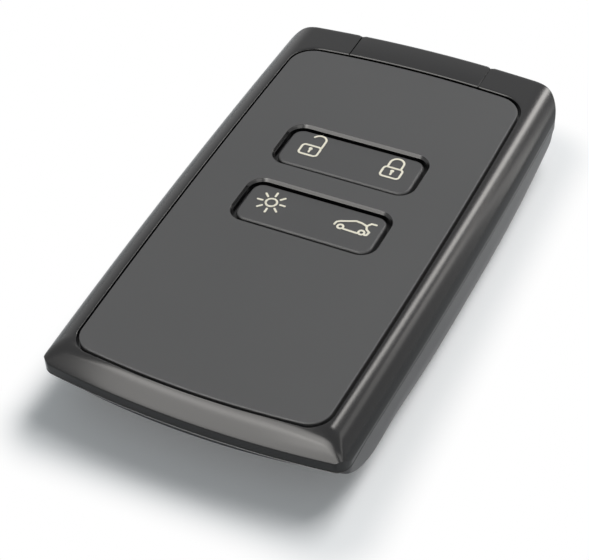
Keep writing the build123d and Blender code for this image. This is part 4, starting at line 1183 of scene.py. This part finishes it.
def winding_rule():
    """An antenna's winding: rounded rings of wire in layers and rows."""
    inputs = {
        "Layers": 7,
        "Rows": 12,
        "Outer size": 0.01050,
        "Corner": 0.0025,
        "Wire": 0.000157,
        "Place": (-0.0127, 0.0060, 0.00545),
    }
    rule = Rule("Winding", inputs)
    times, minus, maths = rule.times, rule.minus, rule.maths
    wire, layers = rule["Wire"], rule["Layers"]
    side = minus(rule["Outer size"], wire)
    points = rule.line(times(layers, rule["Rows"]))
    index = rule.out("GeometryNodeInputIndex")
    layer = maths("MODULO", index, layers)
    row = maths("FLOOR", maths("DIVIDE", index, layers))
    lift = rule.vector(z=times(rule.plus(row, 0.5), wire))
    points = rule.out("GeometryNodeSetPosition", {"Geometry": points, "Position": lift})
    shrink = maths("DIVIDE", times(times(layer, 2.0), wire), side)
    scale = minus(1.0, shrink)
    ring = rule.out("GeometryNodeCurvePrimitiveQuadrilateral", {"Width": side, "Height": side})
    fillet = {"Curve": ring, "Radius": rule["Corner"], "Count": 6, "Limit Radius": True}
    ring = rule.out("GeometryNodeFilletCurve", fillet, mode="POLY")
    rings = rule.repeated(points, ring, Scale=rule.vector(scale, scale, 1.0))
    rings = rule.out("GeometryNodeRealizeInstances", {"Geometry": rings})
    return rule.finished(rule.placed(rule.swept(rings, rule.circle(6, times(wire, 0.49)))))


def spring_rule():
    """Coil springs side by side, each with a flat turn at both ends."""
    inputs = {
        "Count": 2,
        "Apart": 0.0146,
        "Turns": 4.0,
        "Radius": 0.00095,
        "Wire radius": 0.00015,
        "Height": 0.00351,
        "Along": 0.022,
        "Foot": 0.00437,
    }
    rule = Rule("Springs", inputs)
    wire, radius, apart = rule["Wire radius"], rule["Radius"], rule["Apart"]
    rise = rule.minus(rule["Height"], rule.times(wire, 2.0))
    coil = rule.swept(rule.helix(28, rule["Turns"], radius, rise), rule.circle(10, wire))
    end = rule.swept(rule.circle(40, radius), rule.circle(10, wire))
    spring = rule.joined(coil, end, rule.moved(end, z=rise))
    start = rule.vector(x=rule.times(apart, -0.5))
    points = rule.line(rule["Count"], Start_Location=start, Offset=rule.vector(x=apart))
    springs = rule.repeated(points, spring)
    return rule.finished(rule.moved(springs, y=rule["Along"], z=rule.plus(rule["Foot"], wire)))


def sun_rule():
    """A printed sun: a ring with rays round it."""
    inputs = {
        "Rays": 8,
        "Ring radius": 0.00082,
        "Ray start": 0.00142,
        "Ray length": 0.00072,
        "Stroke": 0.00032,
        "Thickness": 0.00006,
        "First ray": 0.0,
        "Place": (-0.00655, -0.00168, 0.0121),
    }
    rule = Rule("Sun", inputs)
    times, maths = rule.times, rule.maths
    stroke, thick, length = rule["Stroke"], rule["Thickness"], rule["Ray length"]
    ribbon = {"Width": stroke, "Height": thick}
    ribbon = rule.out("GeometryNodeCurvePrimitiveQuadrilateral", ribbon)
    ring = rule.swept(rule.circle(56, rule["Ring radius"]), ribbon)
    tip = rule.disc(20, times(stroke, 0.5), times(thick, 0.98))
    tips = [rule.moved(tip, x=times(length, share)) for share in (-0.5, 0.5)]
    ray = rule.joined(rule.box(length, stroke, thick), *tips)
    ray = rule.moved(ray, x=rule.plus(rule["Ray start"], times(length, 0.5)))
    step = maths("DIVIDE", tau, rule["Rays"])
    turn = maths("MULTIPLY_ADD", rule.out("GeometryNodeInputIndex"), step, rule["First ray"])
    points = rule.line(rule["Rays"], Offset=(0.0, 0.0, 0.0))
    rays = rule.repeated(points, ray, Rotation=rule.vector(z=turn))
    return rule.finished(rule.placed(rule.moved(rule.joined(ring, rays), z=times(thick, 0.5))))


# Stage


def floor_finish(lift):
    """A pale matte floor that keeps the shadow near the card and turns plain white further out."""
    finish = bpy.data.materials.new("Pale floor")
    finish.use_nodes = True
    tree = Tree(finish.node_tree)
    finish.node_tree.nodes.clear()
    matte = tree.out("ShaderNodeBsdfDiffuse", {"Color": (0.90, 0.90, 0.90, 1.0)})
    glow = tree.out("ShaderNodeEmission", {"Strength": lift})
    plain = tree.out("ShaderNodeEmission", {"Strength": 1.0})
    place = tree.add("ShaderNodeTexCoord").outputs["Object"]
    beside = place
    for operation, value in (
        ("ADD", (-0.0005, 0.002, 0.0)),
        ("ABSOLUTE", (0.0, 0.0, 0.0)),
        ("SUBTRACT", (0.020, 0.039, 0.0)),
        ("MAXIMUM", (0.0, 0.0, 0.0)),
    ):
        beside = tree.out("ShaderNodeVectorMath", {0: beside, 1: value}, operation=operation)
    ray = tree.add("ShaderNodeLightPath").outputs
    shares = []
    for kind, source, start, end in (
        ("Is Camera Ray", beside, 0.0035, 0.0105),
        ("Is Glossy Ray", place, 0.165, 0.30),
    ):
        away = tree.add("ShaderNodeVectorMath", {0: source}, operation="LENGTH").outputs["Value"]
        fade = {"Value": away, "From Min": start, "From Max": end}
        fade = tree.out("ShaderNodeMapRange", fade, interpolation_type="SMOOTHSTEP")
        shares.append(tree.maths("MULTIPLY", ray[kind], fade))
    both = tree.out("ShaderNodeAddShader", {0: matte, 1: glow})
    lifted = tree.out("ShaderNodeMixShader", {0: ray["Is Camera Ray"], 1: matte, 2: both})
    share = tree.maths("MAXIMUM", *shares)
    mixed = tree.out("ShaderNodeMixShader", {0: share, 1: lifted, 2: plain})
    tree.add("ShaderNodeOutputMaterial", {"Surface": mixed})
    return finish


def make_world(strength):
    """A white room: strength on the card, and plain white wherever it is seen."""
    world = bpy.data.worlds.new("White room")
    bpy.context.scene.world = world
    world.use_nodes = True
    tree = Tree(world.node_tree)
    world.node_tree.nodes.clear()
    cool_white = (0.86, 0.95, 1.0, 1.0)
    lit = {"Color": cool_white, "Strength": strength}
    seen = {"Color": (1.0, 1.0, 1.0, 1.0), "Strength": 1.0}
    lit, seen = (tree.out("ShaderNodeBackground", inputs) for inputs in (lit, seen))
    ray = tree.add("ShaderNodeLightPath").outputs
    direct = tree.maths("MAXIMUM", ray["Is Camera Ray"], ray["Is Glossy Ray"])
    clear = tree.maths("MAXIMUM", direct, ray["Is Transmission Ray"])
    mixed = tree.out("ShaderNodeMixShader", {0: clear, 1: lit, 2: seen})
    tree.add("ShaderNodeOutputWorld", {"Surface": mixed})


def make_camera():
    """The photograph's viewpoint: to the right of the near end, well above the table."""
    data = bpy.data.cameras.new("Viewpoint")
    # Solved from the outlines in the photograph: degrees here, and millimetres for the place
    data.sensor_width, data.lens = 36.0, 96.4
    data.clip_start, data.clip_end = 0.01, 20.0
    camera = linked(bpy.data.objects.new("Viewpoint", data))
    turn, rise, roll = radians(28.021), radians(44.112), radians(-3.139)
    back = Vector((sin(turn) * cos(rise), -cos(turn) * cos(rise), sin(rise)))
    right = Vector((cos(turn), sin(turn), 0.0))
    up = back.cross(right)
    axes = (right * cos(roll) + up * sin(roll), up * cos(roll) - right * sin(roll), back)
    camera.rotation_mode = "QUATERNION"
    camera.rotation_quaternion = Matrix(axes).transposed().to_quaternion()
    camera.location = Vector((75.398, -149.925, 160.699)) * MM
    bpy.context.scene.camera = camera


# Each lamp: its name, the direction in which it lies, its distance, its size and its strength.
# The key box lights the scene, and glossy faces don't show it.
KEY_BOX = ("Key box", (0.26, 0.42, 0.87), 0.75, (0.38, 0.38), 8.2)

# These show in glossy faces only: their mirror images run along the bezel
MIRRORED_LAMPS = (
    ("Near box", (-0.20, -0.83, 0.50), 0.60, (0.46, 0.74), 4.6),
    ("Near strip", (-0.30, -0.78, 0.55), 0.58, (0.34, 0.06), 4.5),
    ("Overhead strip", (-0.36, -0.10, 0.93), 0.60, (0.34, 0.16), 7.5),
    ("Long strip", (0.31, 0.68, 0.66), 0.60, (0.08, 0.50), 11.0),
    ("Long box", (0.63, 0.70, 0.30), 0.61, (0.04, 0.50), 3.0),
    ("Near right strip", (-0.05, -0.82, 0.57), 0.60, (0.10, 0.40), 2.6),
    ("Right arc", (0.74, 0.24, 0.58), 0.70, (0.90, 0.14), 1.6),
    ("Near right box", (0.60, -0.62, 0.50), 0.70, (0.40, 0.26), 2.0),
)


def make_lamp(level, mirrored, name, toward, distance, size, strength):
    """A soft lamp that faces the card, whose strength is how bright its face looks."""
    data = bpy.data.lights.new(name, "AREA")
    data.shape = "RECTANGLE"
    data.size, data.size_y = size
    data.energy = strength * level * size[0] * size[1] * pi
    warm_white, white = (1.0, 0.975, 0.94), (1.0, 1.0, 1.0)
    data.color = warm_white if mirrored else white
    lamp = linked(bpy.data.objects.new(name, data))
    place, aim = Vector(toward).normalized() * distance, Vector((0.0, 0.0, 0.01))
    lamp.location = place
    lamp.rotation_mode = "QUATERNION"
    lamp.rotation_quaternion = (aim - place).to_track_quat("-Z", "Y")
    lamp.visible_diffuse = lamp.visible_transmission = not mirrored
    lamp.visible_glossy = mirrored


# Operators


class Making:
    """What every operator of the card shares."""

    bl_options = {"REGISTER", "UNDO"}


class MakeStage(Making, bpy.types.Operator):
    """Makes the floor, the lamps, the white room and the camera"""

    bl_idname = "keycard.stage"
    bl_label = "Stage"

    def execute(self, context):
        studio = context.scene.key_card_studio
        context.scene.view_settings.view_transform = "Standard"
        make_camera()
        make_world(studio.room_light)
        reach, under = 3.0, -0.00002
        signs = ((-1, -1), (1, -1), (1, 1), (-1, 1))
        mesh = bpy.data.meshes.new("Floor")
        mesh.from_pydata([(x * reach, y * reach, under) for x, y in signs], [], [(0, 1, 2, 3)])
        mesh.materials.append(floor_finish(studio.floor_lift))
        floor = linked(bpy.data.objects.new("Floor", mesh))
        make_lamp(studio.lamp_level, False, *KEY_BOX)
        for lamp in MIRRORED_LAMPS:
            make_lamp(studio.lamp_level, True, *lamp)
        return {"FINISHED"}


class MakeBezel(Making, bpy.types.Operator):
    """Makes the glossy bezel round the panel"""

    bl_idname = "keycard.bezel"
    bl_label = "Front bezel"

    def execute(self, context):
        mesh_piece("bezel", build_bezel, "main", "front_bezel", "Bezel gloss")
        return {"FINISHED"}


class MakePanel(Making, bpy.types.Operator):
    """Makes the matte front panel with its two windows, whose edges are glossy"""

    bl_idname = "keycard.panel"
    bl_label = "Front panel"

    def execute(self, context):
        panel = mesh_piece(
            "panel", build_panel, "main", "front_panel", "Panel matte", flat_faces=True
        )
        panel.data.materials.append(finish_of("Window edge"))
        s = sizes()
        half_width, half_height = s["window_width"] / 2 * MM, s["window_height"] / 2 * MM
        for face in panel.data.polygons:
            away = min(abs(face.center.y - window_y * MM) for window_y in window_places())
            in_window = abs(face.center.x) <= half_width and away <= half_height
            if in_window and abs(face.normal.z) < 0.9:
                face.material_index = 1
        return {"FINISHED"}


class MakeRockers(Making, bpy.types.Operator):
    """Makes the pads of the two rockers"""

    bl_idname = "keycard.rockers"
    bl_label = "Rockers"

    def execute(self, context):
        for name, window_y in zip(("lower_rocker", "upper_rocker"), window_places()):
            mesh_piece(
                name.replace("rocker", "pad"),
                lambda bm, place=window_y: build_rocker(bm, place),
                name,
                name,
                "Rocker matte",
                flat_faces=True,
            )
        return {"FINISHED"}


class MakeSun(Making, bpy.types.Operator):
    """Makes the printed sun on the lower rocker by its rule"""

    bl_idname = "keycard.sun"
    bl_label = "Sun symbol"

    def execute(self, context):
        s = sizes()
        top = (s["card_height"] - s["pad_recess"]) * MM
        beside, above = -0.00655, 0.00062
        values = {"Place": (beside, window_places()[0] * MM + above, top)}
        grow("sun", sun_rule(), values, "lower_rocker", "light_symbol", "Symbol ink")
        return {"FINISHED"}


class MakeCover(Making, bpy.types.Operator):
    """Makes the grey rear cover under the seam"""

    bl_idname = "keycard.cover"
    bl_label = "Rear cover"

    def execute(self, context):
        cover = mesh_piece(
            "cover", build_cover, "rear_cover", "rear_cover", "Cover matte"
        )
        cut_openings(cover, build_cover_openings)
        cover.data.set_sharp_from_angle(angle=SHARP_ANGLE)
        return {"FINISHED"}


class MakeKeyHead(Making, bpy.types.Operator):
    """Makes the emergency key's head"""

    bl_idname = "keycard.key_head"
    bl_label = "Emergency key's head"

    def execute(self, context):
        mesh_piece(
            "head_of_key", build_key_head, "emergency_key", "key_head", "Bezel gloss"
        )
        return {"FINISHED"}


class MakeBoardParts(Making, bpy.types.Operator):
    """Makes the small capacitors and the antenna's winding by their rules"""

    bl_idname = "keycard.board_parts"
    bl_label = "Capacitors and winding"

    def execute(self, context):
        seed = context.scene.key_card_studio.seed
        values = {"Seed": seed, "Cap finish": finish_of("Tinned metal")}
        slot, body = "capacitor_ceramic", "main"
        grow("chip_caps", capacitor_rule(), values, body, "capacitors", "Ceramic")
        grow("winding", winding_rule(), {}, body, "antenna_coil", "Copper wire")
        return {"FINISHED"}


class MakeBattery(Making, bpy.types.Operator):
    """Makes the coin cell"""

    bl_idname = "keycard.battery"
    bl_label = "Coin cell"

    def execute(self, context):
        mesh_piece("coin_cell", build_battery, "main", "battery", "Bright steel")
        return {"FINISHED"}


class MakeScrews(Making, bpy.types.Operator):
    """Makes the four screws by their rule"""

    bl_idname = "keycard.screws"
    bl_label = "Screws"

    def execute(self, context):
        slot, body = "screw_steel", "main"
        grow("screw_set", screw_rule(), {}, body, "frame_screws", "Bright steel")
        return {"FINISHED"}


class MakeSprings(Making, bpy.types.Operator):
    """Makes the release button's springs by their rule"""

    bl_idname = "keycard.springs"
    bl_label = "Release springs"

    def execute(self, context):
        slot, body = "spring_steel", "main"
        springs = grow(
            "coil_springs", spring_rule(), {}, body, "release_springs", "Spring steel"
        )
        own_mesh(springs)
        return {"FINISHED"}


class DressKept(Making, bpy.types.Operator):
    """Gives the pieces that keep their own shapes their finishes"""

    bl_idname = "keycard.kept"
    bl_label = "Kept pieces"

    def execute(self, context):
        for finish, names in KEPT_NODES.items():
            for name in names:
                mesh = frame["nodes"][name].data
                mesh.materials.clear()
                mesh.materials.append(finish_of(finish))
        return {"FINISHED"}


class KEYCARD_PT_panel(bpy.types.Panel):
    """Lists the card's pieces in the order in which they are made"""

    bl_label = "Key card"
    bl_idname = "KEYCARD_PT_panel"
    bl_space_type = "VIEW_3D"
    bl_region_type = "UI"
    bl_category = "Key card"

    def draw(self, context):
        for operator in OPERATORS:
            self.layout.operator(operator.bl_idname)


GROUPS = {
    "key_card_sizes": KeyCardSizes,
    "key_card_colours": KeyCardColours,
    "key_card_studio": KeyCardStudio,
}
OPERATORS = (
    MakeStage,
    MakeBezel,
    MakePanel,
    MakeRockers,
    MakeSun,
    MakeCover,
    MakeKeyHead,
    MakeBoardParts,
    MakeBattery,
    MakeScrews,
    MakeSprings,
    DressKept,
)
CLASSES = (*GROUPS.values(), *OPERATORS, KEYCARD_PT_panel)


def register():
    for registered in CLASSES:
        bpy.utils.register_class(registered)
    for name, group in GROUPS.items():
        setattr(bpy.types.Scene, name, PointerProperty(type=group))


def unregister():
    for name in GROUPS:
        delattr(bpy.types.Scene, name)
    for registered in reversed(CLASSES):
        bpy.utils.unregister_class(registered)


def main():
    """Builds the whole card in its studio."""
    register()
    for operator in OPERATORS:
        group, name = operator.bl_idname.split(".")
        getattr(getattr(bpy.ops, group), name)()


if __name__ == "__main__":
    main()
